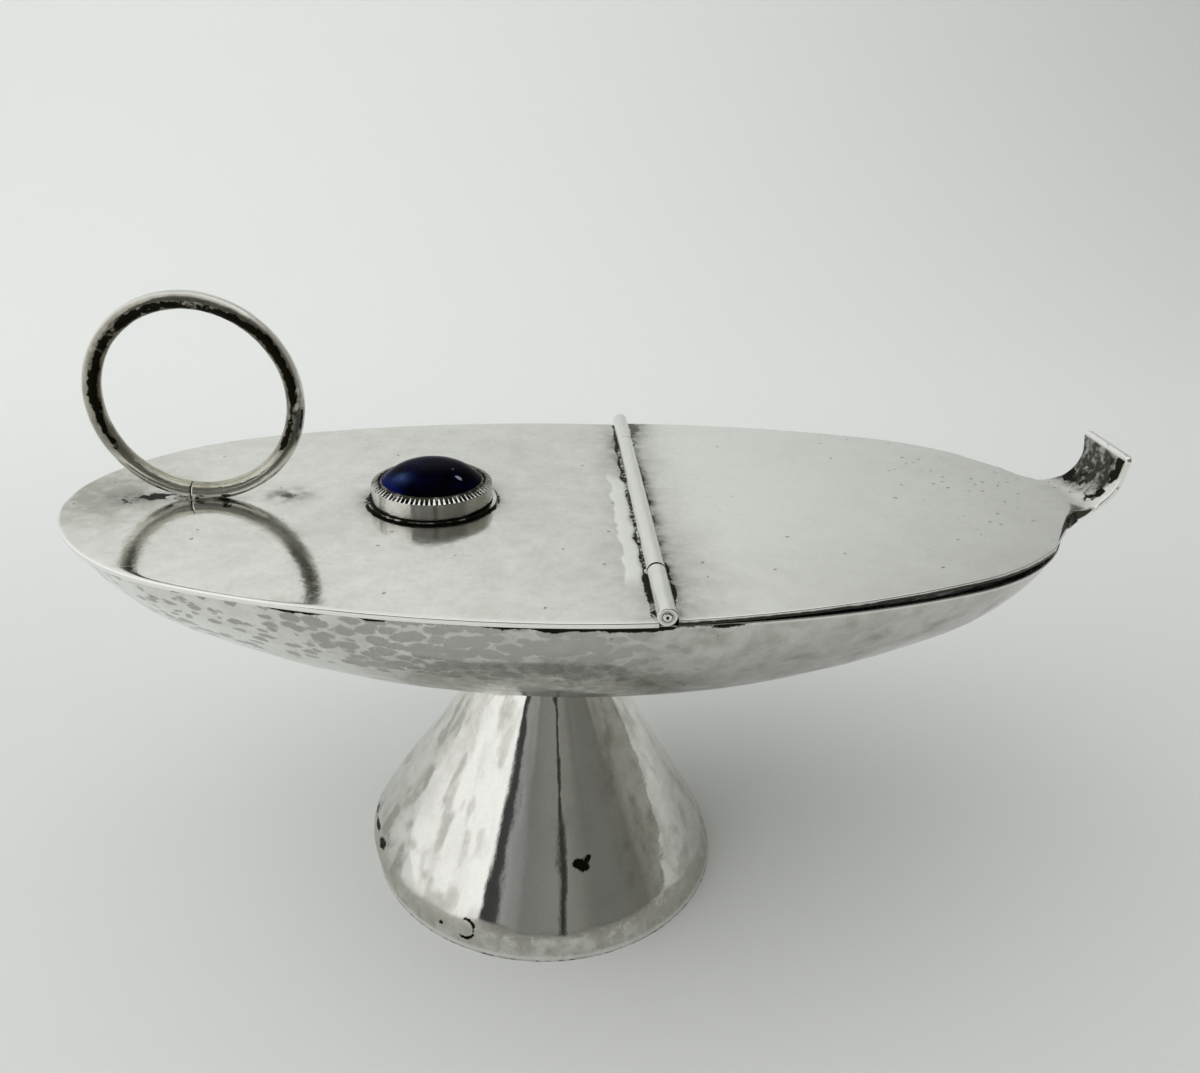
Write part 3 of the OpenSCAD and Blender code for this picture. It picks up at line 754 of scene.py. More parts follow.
def ring_solder():
    """The low mound of solder under the ring: a bowl turned over, on an oval plan. Its height falls as the
    square of one less the squared share of the way out."""
    around = full_turn(MOUND_ROWS)[:, None]
    out = np.concatenate([np.linspace(0, 1, 16), [0]])[None, :]
    wobble = 1 + 0.18 * (clouds(np.cos(around) * 2 + 5, np.sin(around) * 2 + 5, 101) - 0.5)
    z = lid_top + MOUND_HIGH * (1 - out ** 2) ** 2 - 0.02
    z[:, -1] = lid_top - 0.2
    x = RING_SEAT_X + MOUND_LONG * out * wobble * np.cos(around)
    y = MOUND_WIDE * out * wobble * np.sin(around)
    return grid_points(x, y, z), {"soot_and_shadow": 0.42}


def bezel_disc():
    """The disc under the collar, turned from a section with an eased upper edge. Soot covers it but for one
    side."""
    edge_r = plate_r - np.array([0, 0, 0.3 * PLATE_EASE, PLATE_EASE, 0.35])
    radius = np.concatenate([[0], edge_r, [collar_out + 0.2, collar_out, 0]])
    edge_z = [plate_top - PLATE_EASE, plate_top - 0.3 * PLATE_EASE]
    height = np.array([lid_top, lid_top] + edge_z + [plate_top] * 5)
    points = turned(radius, height, bezel_x, 240)
    bearing = np.arctan2(points[:, 1:2, 1], points[:, 1:2, 0] - bezel_x)
    amount = np.array([1, 1, 0.80, 0.56, 0.52, 0.62, 1.0, 1.2, 1.2])[None, :]
    creep = 0.35 * bell(bearing, -0.75, 0.35) + 0.55 * (clouds(bearing * 6, 0 * bearing, 107) - 0.45)
    clean = bell(bearing, 0.05, 0.45)
    return points, {"soot_and_shadow": amount + creep - 0.60 * clean, "smoke_shade_and_reflection": 0.70 - 0.5 * clean}


def stone_height(radius):
    """Height of the stone's dome at a distance from its axis: full at the shoulders, falling by the cube."""
    return stone_high[2] - stone_rise * (radius / stone_r) ** 3


def collar_strip():
    """The collar: rows go round it, a dozen to a tooth, and columns go up the outside, in over the teeth, on
    along the lip that is rubbed over the stone, and down the inside. Each tooth stands on a sunk floor, and
    its sides draw together towards its tip."""
    steps = BEZEL_TEETH * TOOTH_STEPS
    around = full_turn(steps)[:, None]
    crest = 1 - np.abs(2 * (np.arange(steps) % TOOTH_STEPS)[:, None] / TOOTH_STEPS - 1)
    fold_z = collar_top - TOOTH_H - TOOTH_ROOT
    climb = np.linspace(0, 1, 10)
    inward = np.linspace(0.03, 1, 11)
    which = np.floor(np.arange(steps) / TOOTH_STEPS)[:, None]
    tooth = np.clip((crest - 0.34 - 0.30 * inward - 0.25 * (lattice(which, 1, 104) - 0.5)) / 0.16, 0, 1)
    uneven = 1 + 0.25 * (lattice(which, 0, 103) - 0.5)
    floor = fold_z - TOOTH_FLOOR * smooth(0, 0.2, inward)
    teeth_z = floor + (fold_z + (TOOTH_H + TOOTH_ROOT) * inward * uneven - floor) * tooth
    lip_r = stone_r - np.array([0.04, 0.22, 0.40, 0.54, 0.58])
    lip_z = stone_height(lip_r) + np.array([0.16, 0.16, 0.14, 0.08, 0.01])
    under_r = stone_r - np.array([0.30, 0.03])
    wall_r = np.full(3, collar_out - BEZEL_WALL)
    teeth_r = collar_out - TOOTH_REACH * inward
    radius = np.concatenate([collar_out + 0 * climb, teeth_r, lip_r, under_r, wall_r])[None, :]
    inner_z = np.linspace(stone_low[2] + STONE_GIRDLE, plate_top, 3)
    below = np.concatenate([stone_height(under_r) + 0.01, inner_z])
    wall_z = plate_top + (fold_z - plate_top) * climb
    spread = np.ones((steps, 1))
    z = np.hstack([spread * wall_z, teeth_z, spread * np.concatenate([lip_z, below])])
    worn = 0.03 * (clouds(around / (2 * np.pi) * 40, z / 9, 105) - 0.5)
    wall = np.concatenate([np.ones(10), np.zeros(21)])[None, :]
    radius = radius + worn * wall
    points = grid_points(bezel_x + radius * np.cos(around), radius * np.sin(around), z)

    # Soot between the teeth and along the wall's foot, thickest on one side, smoke on the lip, and a painted
    # reflection brightening the wall on its left side
    on_teeth = np.concatenate([np.zeros(10), np.ones(11), np.zeros(10)])[None, :]
    on_lip = np.concatenate([np.zeros(21), np.ones(10)])[None, :]
    gaps = np.hstack([np.zeros((steps, 10)), 1 - tooth, np.zeros((steps, 10))])
    bearing = (around + np.pi) % (2 * np.pi) - np.pi
    creep = 0.18 + 0.55 * bell(bearing, -0.55, 0.4) * cloud(bearing * 9, 0 * bearing, 108)
    soot_and_shadow = 1.6 * gaps + wall * bell(z - plate_top, 0, creep)
    smoke_shade_and_reflection = on_lip * (0.95 + 0.35 * cloud(around * 9, 0 * around, 109)) + 0.10 * wall
    smoke_shade_and_reflection = smoke_shade_and_reflection + 0.5 * on_teeth * smooth(-0.7, 0.1, np.sin(bearing))
    rub_and_reflection = on_teeth * np.hstack([np.zeros((steps, 10)), tooth, np.zeros((steps, 10))])
    # A painted reflection: the wall brighter on its left side
    rub_and_reflection = rub_and_reflection + 0.9 * wall * bell(bearing, -2.25, 0.42)
    return points, {"soot_and_shadow": soot_and_shadow, "smoke_shade_and_reflection": smoke_shade_and_reflection + 0 * z, "rub_and_reflection": rub_and_reflection}


def stone_dome():
    """The cabochon: rows go round it and columns run from its crown down the dome to the girdle and in under
    the flat base. It has a painted blue reflection on one side, a painted highlight on the other and
    painted light tinting its rim blue on the lit side."""
    dome = np.linspace(0, stone_r, 60)
    radius = np.concatenate([dome, [stone_r, 0]])
    height = np.concatenate([stone_height(dome), [stone_low[2], stone_low[2]]])
    points = turned(radius, height, bezel_x, 160)
    over, back = points[..., 0] - bezel_x, points[..., 1]
    # Painted light: a blue reflection on one side, a highlight on the other, and a blue rim on the lit side
    painted_blue_reflection = bell(over, -4.6, 1.4) * bell(back + 0.35 * over, -5.4, 1.0)
    painted_highlight = bell(over - 0.6 * back, 6.7, 0.75) * bell(back + 0.3 * over, -2.3, 0.42)
    lit_side = np.maximum(smooth(-3, -6, over), 0.6 * smooth(1, 5, back))
    painted_rim_light = smooth(5.4, 7.9, np.hypot(over, back)) * lit_side
    return points, {"painted_blue_reflection": painted_blue_reflection, "painted_highlight": painted_highlight, "painted_rim_light": painted_rim_light}


def knuckle_tube(low_y, high_y):
    """A length of hinge tube: its outside, eased ends, end faces and bore, turned about the hinge. Soot lies
    in the joints between lengths."""
    quarter = np.linspace(0, np.pi / 2, 6)[1:]
    straight = np.linspace(low_y + TUBE_EASE, high_y - TUBE_EASE, 40)
    worn = tube_r - TUBE_WEAR * clouds(straight / 5, straight * 0, 111)
    far = high_y - TUBE_EASE + TUBE_EASE * np.sin(quarter)
    near = low_y + TUBE_EASE - TUBE_EASE * np.sin(quarter[::-1])
    round_far = tube_r - TUBE_EASE + TUBE_EASE * np.cos(quarter)
    lip = np.array([BORE_R + BORE_EASE, BORE_R])
    radius = np.concatenate([round_far[::-1], worn, round_far, lip, lip[::-1]])
    along = np.concatenate([near, straight, far, [high_y, high_y - BORE_EASE], [low_y + BORE_EASE, low_y]])
    gap = np.minimum(np.abs(along - middle_low[1]), np.abs(along - middle_high[1]))
    face = (radius < BORE_R + 0.1) * 1.0
    return turned_on_hinge(radius, along, 64), {"soot_and_shadow": 1.2 * bell(gap, 0, 0.16)[None, :],
                                                "smoke_shade_and_reflection": 0.55 * face[None, :]}


def pin_rod():
    """The hinge pin: a rod whose peened ends are eased and dimpled at their centres."""
    end = np.array([0, 0.18, 0.30, 0.42, PIN_R - 0.08, PIN_R])
    set_in = np.array([PIN_DIMPLE, PIN_DIMPLE * 0.7, 0.02, 0, 0.03, PIN_EASE])
    radius = np.concatenate([end, end[::-1]])
    along = np.concatenate([pin_low[1] + set_in, pin_high[1] - set_in[::-1]])
    dark = 0.9 * (radius < 0.25) + 0.6 * (radius > PIN_R - 0.01)
    return turned_on_hinge(radius, along, 40), {"soot_and_shadow": dark[None, :]}


def hinge_solder(low_y, high_y, side, floor_z, seed):
    """A fillet of solder between tube and lid: rows run along the hinge, and columns go down a hollow curve
    from the tube to the lid and back inside. Its width wanders, and both ends draw in to a point."""
    y = np.linspace(low_y, high_y, int((high_y - low_y) / SOLDER_STEP))[:, None]
    ends = smooth(0, 0.8, y - low_y) * smooth(0, 0.8, high_y - y)
    width = (0.18 + 0.75 * clouds(y / 2.3, y * 0, seed) ** 2) * ends
    rise = (0.15 + 0.35 * clouds(y / 3.1, y * 0 + 2, seed + 3)) * ends
    dip = floor_z - hinge_z
    corner = math.sqrt(tube_r ** 2 - dip ** 2)
    start_x = np.sqrt(tube_r ** 2 - (dip + rise) ** 2) - 0.03
    t = np.linspace(0, 1, 9)[None, :]
    x = (1 - t) ** 2 * start_x + 2 * t * (1 - t) * corner + t ** 2 * (corner + width)
    z = (1 - t) ** 2 * (dip + rise) + 2 * t * (1 - t) * dip + t ** 2 * dip
    root = np.broadcast_to(np.array([corner - 0.25]), y.shape)
    x = np.concatenate([x, root], 1)
    root_z = dip - SOLDER_ROOT
    z = np.concatenate([z, np.full_like(y, root_z)], 1)
    x = root + (x - root) * (ends > 0)
    z = root_z + (z - root_z) * (ends > 0)
    return grid_points(hinge_x + side * x, y, hinge_z + z)


# Finishes: node helpers


def feed(tree, socket, value):
    """Joins a socket to another one, or sets its value."""
    if isinstance(value, bpy.types.NodeSocket):
        tree.links.new(value, socket)
    else:
        socket.default_value = value


def add_node(tree, kind, inputs=None, **settings):
    """Adds a node, sets its properties, and joins or sets its inputs."""
    node = tree.nodes.new(kind)
    for key, value in settings.items():
        setattr(node, key, value)
    for key, value in (inputs or {}).items():
        feed(tree, node.inputs[key], value)
    return node


def calc(tree, operation, first, second, clamp=False):
    """The result of a math node for two values or sockets."""
    inputs = {0: first, 1: second}
    return add_node(tree, "ShaderNodeMath", inputs, operation=operation, use_clamp=clamp).outputs[0]


def times(tree, first, second, clamp=False):
    """The product of two values or sockets."""
    return calc(tree, "MULTIPLY", first, second, clamp)


def plus(tree, first, second, clamp=False):
    """The sum of two values or sockets."""
    return calc(tree, "ADD", first, second, clamp)


def minus(tree, first, second):
    """The difference of two values or sockets."""
    return calc(tree, "SUBTRACT", first, second)


def ease(tree, value, low, high, bottom=0.0, top=1.0):
    """A smooth step between two limits, from bottom to top."""
    inputs = {"Value": value, "From Min": low, "From Max": high, "To Min": bottom, "To Max": top}
    return add_node(tree, "ShaderNodeMapRange", inputs, interpolation_type="SMOOTHSTEP").outputs["Result"]


def blend_colour(tree, share, first, second):
    """A colour between two, by a share."""
    inputs = {"Factor": share, 6: first, 7: second}
    return add_node(tree, "ShaderNodeMix", inputs, data_type="RGBA").outputs[2]


def object_place(tree):
    """Object coordinates, in metres."""
    return add_node(tree, "ShaderNodeTexCoord").outputs["Object"]


def grain(tree, place, scale, detail=3.0, rough=0.55, warp=0.0):
    """Noise from 0 to 1 at a scale to the metre."""
    inputs = {"Vector": place, "Scale": scale, "Detail": detail, "Roughness": rough, "Distortion": warp}
    return add_node(tree, "ShaderNodeTexNoise", inputs).outputs["Fac"]


def stirred(tree, scale, detail, reach):
    """Object coordinates shifted by noise at a scale to the metre, by no more than the reach in metres."""
    place = object_place(tree)
    noise = add_node(tree, "ShaderNodeTexNoise", {"Vector": place, "Scale": scale, "Detail": detail})
    inputs = {0: noise.outputs["Color"], "Scale": reach}
    shift = add_node(tree, "ShaderNodeVectorMath", inputs, operation="SCALE")
    moved = add_node(tree, "ShaderNodeVectorMath", {0: place, 1: shift.outputs[0]}, operation="ADD")
    return moved.outputs[0]


def new_group(name, inputs):
    """An empty node group with named number inputs and a mask as its output."""
    group = bpy.data.node_groups.new(name, "ShaderNodeTree")
    for label, value in inputs.items():
        socket = group.interface.new_socket(label, in_out="INPUT", socket_type="NodeSocketFloat")
        socket.default_value = value
    group.interface.new_socket("Mask", in_out="OUTPUT", socket_type="NodeSocketFloat")
    return group, group.nodes.new("NodeGroupInput").outputs, group.nodes.new("NodeGroupOutput").inputs


def use_group(tree, group, **inputs):
    """Places a group in a material with its own values and gives its mask."""
    return add_node(tree, "ShaderNodeGroup", inputs, node_tree=group).outputs["Mask"]


# Finishes: effects that several materials share


def tarnish_group():
    """Clouds of tarnish: large soft patches broken by finer ones."""
    group, given, made = new_group("Tarnish clouds", {"Scale": 60.0, "Cover": 0.5, "Soft": 0.2})
    place = object_place(group)
    large = grain(group, place, given["Scale"], 5.0, 0.6, 0.4)
    fine = grain(group, place, times(group, given["Scale"], 5.3), 4.0, 0.65)
    whole = plus(group, times(group, large, 0.72), times(group, fine, 0.28))
    level = minus(group, 1.0, given["Cover"])
    low = minus(group, level, given["Soft"])
    high = plus(group, level, given["Soft"])
    group.links.new(ease(group, whole, low, high), made["Mask"])
    return group


def ragged_edge_group():
    """Ragged mask for black grime, painted shadow and the stone's painted highlight: an amount painted on
    the piece, eaten into by fine noise.
    """
    group, given, made = new_group("Ragged soot", {"Amount": 0.0, "Scale": 900.0})
    noise = grain(group, object_place(group), given["Scale"], 4.0, 0.65, 0.6)
    swing = times(group, minus(group, noise, 0.5), 1.1)
    group.links.new(ease(group, plus(group, given["Amount"], swing), 0.42, 0.62), made["Mask"])
    return group


def film_group():
    """Uneven film: an amount painted on the piece, made thicker and thinner by noise."""
    group, given, made = new_group("Uneven film", {"Amount": 0.0, "Scale": 300.0})
    noise = grain(group, object_place(group), given["Scale"], 5.0, 0.65, 0.3)
    uneven = ease(group, noise, 0.3, 0.7, 0.55, 1.3)
    group.links.new(times(group, given["Amount"], uneven, clamp=True), made["Mask"])
    return group


def specks_group():
    """Scattered dark pits: cells whose lot falls under the share, each dark near its own centre."""
    group, given, made = new_group("Dark specks", {"Scale": 420.0, "Share": 0.1, "Size": 0.10})
    place = stirred(group, 1400.0, 2.0, 0.0006)
    cells = add_node(group, "ShaderNodeTexVoronoi", {"Vector": place, "Scale": given["Scale"]})
    lot = add_node(group, "ShaderNodeSeparateColor", {"Color": cells.outputs["Color"]}).outputs["Red"]
    chosen = calc(group, "LESS_THAN", lot, given["Share"])
    dot = ease(group, cells.outputs["Distance"], given["Size"], times(group, given["Size"], 0.6))
    group.links.new(times(group, chosen, dot), made["Mask"])
    return group


def scratches_group():
    """Hairline scratches in three directions: noise drawn out along a line, of which the crests count."""
    group, given, made = new_group("Fine scratches", {"Scale": 260.0, "Share": 0.35})
    place = object_place(group)
    dense = times(group, given["Scale"], 6.0)
    crest = minus(group, 0.78, times(group, given["Share"], 0.2))
    lines = 0.0
    for turn, stretch in ((0.35, 0.05), (-0.9, 0.04), (1.45, 0.06)):
        inputs = {"Vector": place, "Rotation": (0.0, 0.0, turn), "Scale": (stretch, 1.0, 1.0)}
        drawn = add_node(group, "ShaderNodeMapping", inputs).outputs[0]
        noise = grain(group, drawn, dense, 2.0, 0.5)
        lines = calc(group, "MAXIMUM", lines, ease(group, noise, crest, 0.80))
    group.links.new(lines, made["Mask"])
    return group


def dapple_group():
    """Oval spots left by the hammer: ragged cells, each filled out from its middle to the amount painted on
    the piece, with bright veins between them, and some cells missing."""
    group, given, made = new_group("Hammer dapples", {"Scale": 500.0, "Share": 0.66, "Fill": 0.4})
    place = stirred(group, 800.0, 3.0, 0.0012)
    flat = add_node(group, "ShaderNodeMapping", {"Vector": place, "Scale": (0.70, 0.85, 1.25)})
    cells = add_node(group, "ShaderNodeTexVoronoi", {"Vector": flat.outputs[0], "Scale": given["Scale"]})
    lot = add_node(group, "ShaderNodeSeparateColor", {"Color": cells.outputs["Color"]}).outputs["Green"]
    share = plus(group, given["Share"], times(group, given["Fill"], 0.4))
    chosen = calc(group, "LESS_THAN", lot, share)
    size = times(group, given["Fill"], plus(group, times(group, lot, 0.20), 0.62))
    dot = ease(group, cells.outputs["Distance"], size, minus(group, size, 0.16))
    group.links.new(times(group, chosen, dot), made["Mask"])
    return group


tarnish, ragged_edge, film, specks = tarnish_group(), ragged_edge_group(), film_group(), specks_group()
scratches, dapples = scratches_group(), dapple_group()


# Finishes: materials

# Soot black also paints shadow; smoke dark also paints shade and dark reflections; rubbed silver, reflections
SOOT_AND_SHADOW_COLOUR = (0.012, 0.011, 0.007, 1.0)
SMOKE_SHADE_AND_REFLECTION_COLOUR = (0.040, 0.039, 0.028, 1.0)
SHADE_COLOUR = (0.40, 0.393, 0.345, 1.0)
HAZE_COLOUR = (0.50, 0.49, 0.435, 1.0)
BRIGHT_SILVER = (0.87, 0.865, 0.83, 1.0)
RUBBED_AND_REFLECTED_SILVER = (0.94, 0.935, 0.905, 1.0)
STONE_DEEP = (0.0003, 0.0003, 0.002, 1.0)
STONE_BLUE = (0.001, 0.0015, 0.018, 1.0)
# The rim blue is painted light, the cloud a painted reflection; the fleck colour also paints a highlight
STONE_RIM_LIGHT = (0.003, 0.006, 0.070, 1.0)
STONE_REFLECTION_BLUE = (0.045, 0.075, 0.19, 1.0)
STONE_FLECK_AND_HIGHLIGHT = (0.30, 0.33, 0.45, 1.0)
STONE_SHINE = 0.006


def new_finish(name):
    """A new material with its node tree and its shader."""
    finish = bpy.data.materials.new(name)
    finish.use_nodes = True
    return finish, finish.node_tree, finish.node_tree.nodes["Principled BSDF"]


def painted(tree, mark):
    """The amount of a mark painted on the piece."""
    return add_node(tree, "ShaderNodeAttribute", attribute_name=mark).outputs["Fac"]


def filmed(tree, mark, scale):
    """An uneven film of a mark painted on the piece."""
    return use_group(tree, film, Amount=painted(tree, mark), Scale=scale)


def add_scaled(tree, value, mask, scale):
    """A value raised by a mask times a scale, kept between 0 and 1."""
    return plus(tree, value, times(tree, mask, scale), clamp=True)


def silver_finish(name, bright, dulled, cloud_scale, cover, polish, dull, bump_scale, bump_depth,
                  speck_share, ragged_scale, dapple_colour=None, scratch=0.0, fine=0.25,
                  speck_scale=420.0, speck_size=0.10):
    """Worn silver: bright metal under tarnish clouds and a fine mottle, then painted shade, haze, dapples,
    rubbed edges with painted reflections, a smoky film with painted shade and dark reflections, specks
    and black grime with painted shadow, most with their own roughness. Scales are to the metre."""
    finish, tree, shader = new_finish(name)
    clouded = use_group(tree, tarnish, Scale=cloud_scale, Cover=cover, Soft=0.2)
    mottle = use_group(tree, tarnish, Scale=cloud_scale * 24, Cover=0.45, Soft=0.12)
    clouded = add_scaled(tree, clouded, mottle, fine)
    colour = blend_colour(tree, clouded, bright, dulled)
    rough = ease(tree, clouded, 0.0, 1.0, polish, dull)
    colour = blend_colour(tree, filmed(tree, "shade", 260.0), colour, SHADE_COLOUR)
    hazed = filmed(tree, "haze", 420.0)
    colour = blend_colour(tree, hazed, colour, HAZE_COLOUR)
    rough = add_scaled(tree, rough, hazed, 0.30)
    if dapple_colour:
        spots = use_group(tree, dapples, Fill=painted(tree, "dapple"))
        depth = minus(tree, 1.0, times(tree, painted(tree, "shade"), 0.6))
        colour = blend_colour(tree, times(tree, spots, depth), colour, dapple_colour)
        rough = add_scaled(tree, rough, spots, 0.08)
    if scratch:
        lines = use_group(tree, scratches, Share=scratch)
        rough = add_scaled(tree, rough, lines, 0.14)
        colour = blend_colour(tree, times(tree, lines, 0.25), colour, dulled)
    rubbed_and_reflected = times(tree, painted(tree, "rub_and_reflection"), 0.85, clamp=True)
    colour = blend_colour(tree, rubbed_and_reflected, colour, RUBBED_AND_REFLECTED_SILVER)
    smoke_shade_reflection_film = filmed(tree, "smoke_shade_and_reflection", 520.0)
    colour = blend_colour(tree, smoke_shade_reflection_film, colour, SMOKE_SHADE_AND_REFLECTION_COLOUR)
    share = plus(tree, painted(tree, "sand"), speck_share)
    pits = use_group(tree, specks, Share=share, Scale=speck_scale, Size=speck_size)
    soot_and_shadow = use_group(tree, ragged_edge, Amount=painted(tree, "soot_and_shadow"), Scale=ragged_scale)
    black = calc(tree, "MAXIMUM", soot_and_shadow, times(tree, pits, 0.5))
    colour = blend_colour(tree, black, colour, SOOT_AND_SHADOW_COLOUR)
    rough = add_scaled(tree, add_scaled(tree, rough, smoke_shade_reflection_film, 0.12), black, 0.40)
    height = grain(tree, object_place(tree), bump_scale, 4.0, 0.6)
    bump = add_node(tree, "ShaderNodeBump", {"Height": height, "Strength": 1.0, "Distance": bump_depth})
    shader.inputs["Metallic"].default_value = 1.0
    for socket, value in (("Base Color", colour), ("Roughness", rough), ("Normal", bump.outputs["Normal"])):
        tree.links.new(value, shader.inputs[socket])
    return finish


def stone_finish():
    """Deep blue polished stone with a painted blue reflection, a painted highlight, painted light on its rim
    and a few tiny pale flecks.
    """
    finish, tree, shader = new_finish("polished_blue_stone")
    place = object_place(tree)
    deep = ease(tree, grain(tree, place, 130.0, 4.0, 0.6, 0.5), 0.45, 0.75)
    colour = blend_colour(tree, deep, STONE_DEEP, STONE_BLUE)
    colour = blend_colour(tree, painted(tree, "painted_rim_light"), colour, STONE_RIM_LIGHT)
    painted_blue_reflection = times(tree, filmed(tree, "painted_blue_reflection", 420.0), 0.75)
    colour = blend_colour(tree, painted_blue_reflection, colour, STONE_REFLECTION_BLUE)
    flecks = use_group(tree, specks, Scale=700.0, Share=0.03, Size=0.16)
    painted_highlight = use_group(tree, ragged_edge, Amount=painted(tree, "painted_highlight"), Scale=1300.0)
    pale = calc(tree, "MAXIMUM", times(tree, flecks, 0.5), times(tree, painted_highlight, 0.9))
    colour = blend_colour(tree, pale, colour, STONE_FLECK_AND_HIGHLIGHT)
    rough = ease(tree, grain(tree, place, 500.0), 0.3, 0.7, 0.04, 0.09)
    tree.links.new(colour, shader.inputs["Base Color"])
    tree.links.new(rough, shader.inputs["Roughness"])
    shader.inputs["Specular IOR Level"].default_value = STONE_SHINE
    return finish


hull_silver = silver_finish(
    "hammered_hull_silver", BRIGHT_SILVER, (0.62, 0.615, 0.585, 1.0), cloud_scale=55.0, cover=0.42,
    polish=0.14, dull=0.26, bump_scale=450.0, bump_depth=0.00008, speck_share=0.06, ragged_scale=700.0,
    dapple_colour=(0.42, 0.418, 0.385, 1.0), scratch=0.2)
foot_silver = silver_finish(
    "hammered_foot_silver", BRIGHT_SILVER, (0.70, 0.695, 0.66, 1.0), cloud_scale=80.0, cover=0.35,
    polish=0.045, dull=0.12, bump_scale=260.0, bump_depth=0.000025, speck_share=0.03, ragged_scale=800.0,
    scratch=0.3)
lid_silver = silver_finish(
    "polished_lid_silver", BRIGHT_SILVER, (0.72, 0.715, 0.68, 1.0), cloud_scale=48.0, cover=0.42,
    polish=0.09, dull=0.17, bump_scale=500.0, bump_depth=0.00002, speck_share=0.0, ragged_scale=900.0,
    scratch=0.35, fine=0.5, speck_scale=700.0, speck_size=0.26)
ring_silver = silver_finish(
    "oxidised_ring_silver", (0.54, 0.525, 0.44, 1.0), (0.27, 0.255, 0.19, 1.0), cloud_scale=150.0, cover=0.42,
    polish=0.09, dull=0.20, bump_scale=700.0, bump_depth=0.00005, speck_share=0.10, ragged_scale=1000.0)
bezel_silver = silver_finish(
    "bright_bezel_silver", BRIGHT_SILVER, (0.55, 0.54, 0.49, 1.0), cloud_scale=160.0, cover=0.42,
    polish=0.13, dull=0.26, bump_scale=900.0, bump_depth=0.00004, speck_share=0.05, ragged_scale=1400.0)
hinge_silver = silver_finish(
    "satin_hinge_silver", (0.80, 0.795, 0.755, 1.0), (0.68, 0.715, 0.675, 1.0), cloud_scale=120.0, cover=0.35,
    polish=0.20, dull=0.30, bump_scale=600.0, bump_depth=0.00003, speck_share=0.02, ragged_scale=2200.0)
solder_silver = silver_finish(
    "rough_solder_silver", BRIGHT_SILVER, (0.55, 0.545, 0.51, 1.0), cloud_scale=420.0, cover=0.5,
    polish=0.22, dull=0.40, bump_scale=1500.0, bump_depth=0.00015, speck_share=0.08, ragged_scale=1300.0)
blue_stone = stone_finish()


# The boat's pieces

for name, shape, finish, body, slot, nodes, wrap in (
        ("hull_shell", hull_shell, hull_silver, "boat", "hammered_silver", ["boat_hull"], TUBE),
        ("foot_shell", foot_shell, foot_silver, "boat", "hammered_silver", ["foot_cone"], TORUS),
        ("fixed_lid_plate", fixed_lid_shell, lid_silver, "boat", "lid_silver", ["fixed_lid"], TUBE),
        ("moving_lid_plate", moving_lid_shell, lid_silver, "lid", "lid_silver", ["moving_lid"], TUBE),
        ("ring_wire", ring_torus, ring_silver, "boat", "oxidised_silver", ["ring_handle"], TORUS),
        ("ring_solder", ring_solder, solder_silver, "boat", "lid_silver", [], TURNED),
        ("bezel_disc", bezel_disc, bezel_silver, "boat", "bezel_silver", ["bezel_plate"], TURNED),
        ("bezel_strip", collar_strip, bezel_silver, "boat", "bezel_silver", ["bezel_collar"], TORUS),
        ("stone_dome", stone_dome, blue_stone, "boat", "blue_stone", ["cabochon"], TURNED)):
    points, marks = shape()
    make_piece(name, points, marks, finish, body, nodes, wrap)
for end, body, node, low, high in (("middle", "boat", "centre_knuckle", middle_low[1], middle_high[1]),
                                   ("front", "lid", "front_knuckle", front_low[1], front_high[1]),
                                   ("back", "lid", "back_knuckle", back_low[1], back_high[1])):
    points, marks = knuckle_tube(low, high)
    make_piece("hinge_tube_" + end, points, marks, hinge_silver, body, [node], TORUS)
points, marks = pin_rod()
make_piece("hinge_pin_rod", points, marks, hinge_silver, "lid", ["hinge_pin"], TURNED)
points = hinge_solder(middle_low[1] + SOLDER_INSET, middle_high[1] - SOLDER_INSET, -1, lid_top, 121)
make_piece("hinge_solder_middle", points, {"soot_and_shadow": 0.55}, solder_silver, "boat")
for end, low, high, seed in (("front", front_low[1], front_high[1], 131),
                             ("back", back_low[1], back_high[1], 141)):
    points = hinge_solder(low + SOLDER_INSET, high - SOLDER_SHORT, 1, rim_z + LID_GAP + lid_t, seed)
    make_piece("hinge_solder_" + end, swung_ajar(points), {"soot_and_shadow": 0.38}, solder_silver, "lid")
frame["nodes"]["stone_bearer"].data.materials.clear()
frame["nodes"]["stone_bearer"].data.materials.append(bezel_silver)


# Camera at the photograph's viewing angle

CAMERA_EYE = (-3.971, -152.942, 134.312)
CAMERA_YAW = math.radians(4.444)
CAMERA_PITCH = math.radians(24.968)
CAMERA_ROLL = math.radians(2.337)
CAMERA_LENS = 30.466
CAMERA_SENSOR = 36.0
CAMERA_NEAR = 5.0


def stood(at, side, up, back):
    """How a thing stands: its place in millimetres and the way of its own three axes."""
    place = np.eye(4)
    place[:3, 0], place[:3, 1], place[:3, 2] = side, up, back
    place[:3, 3] = np.array(at) * MM
    return Matrix(place.tolist())


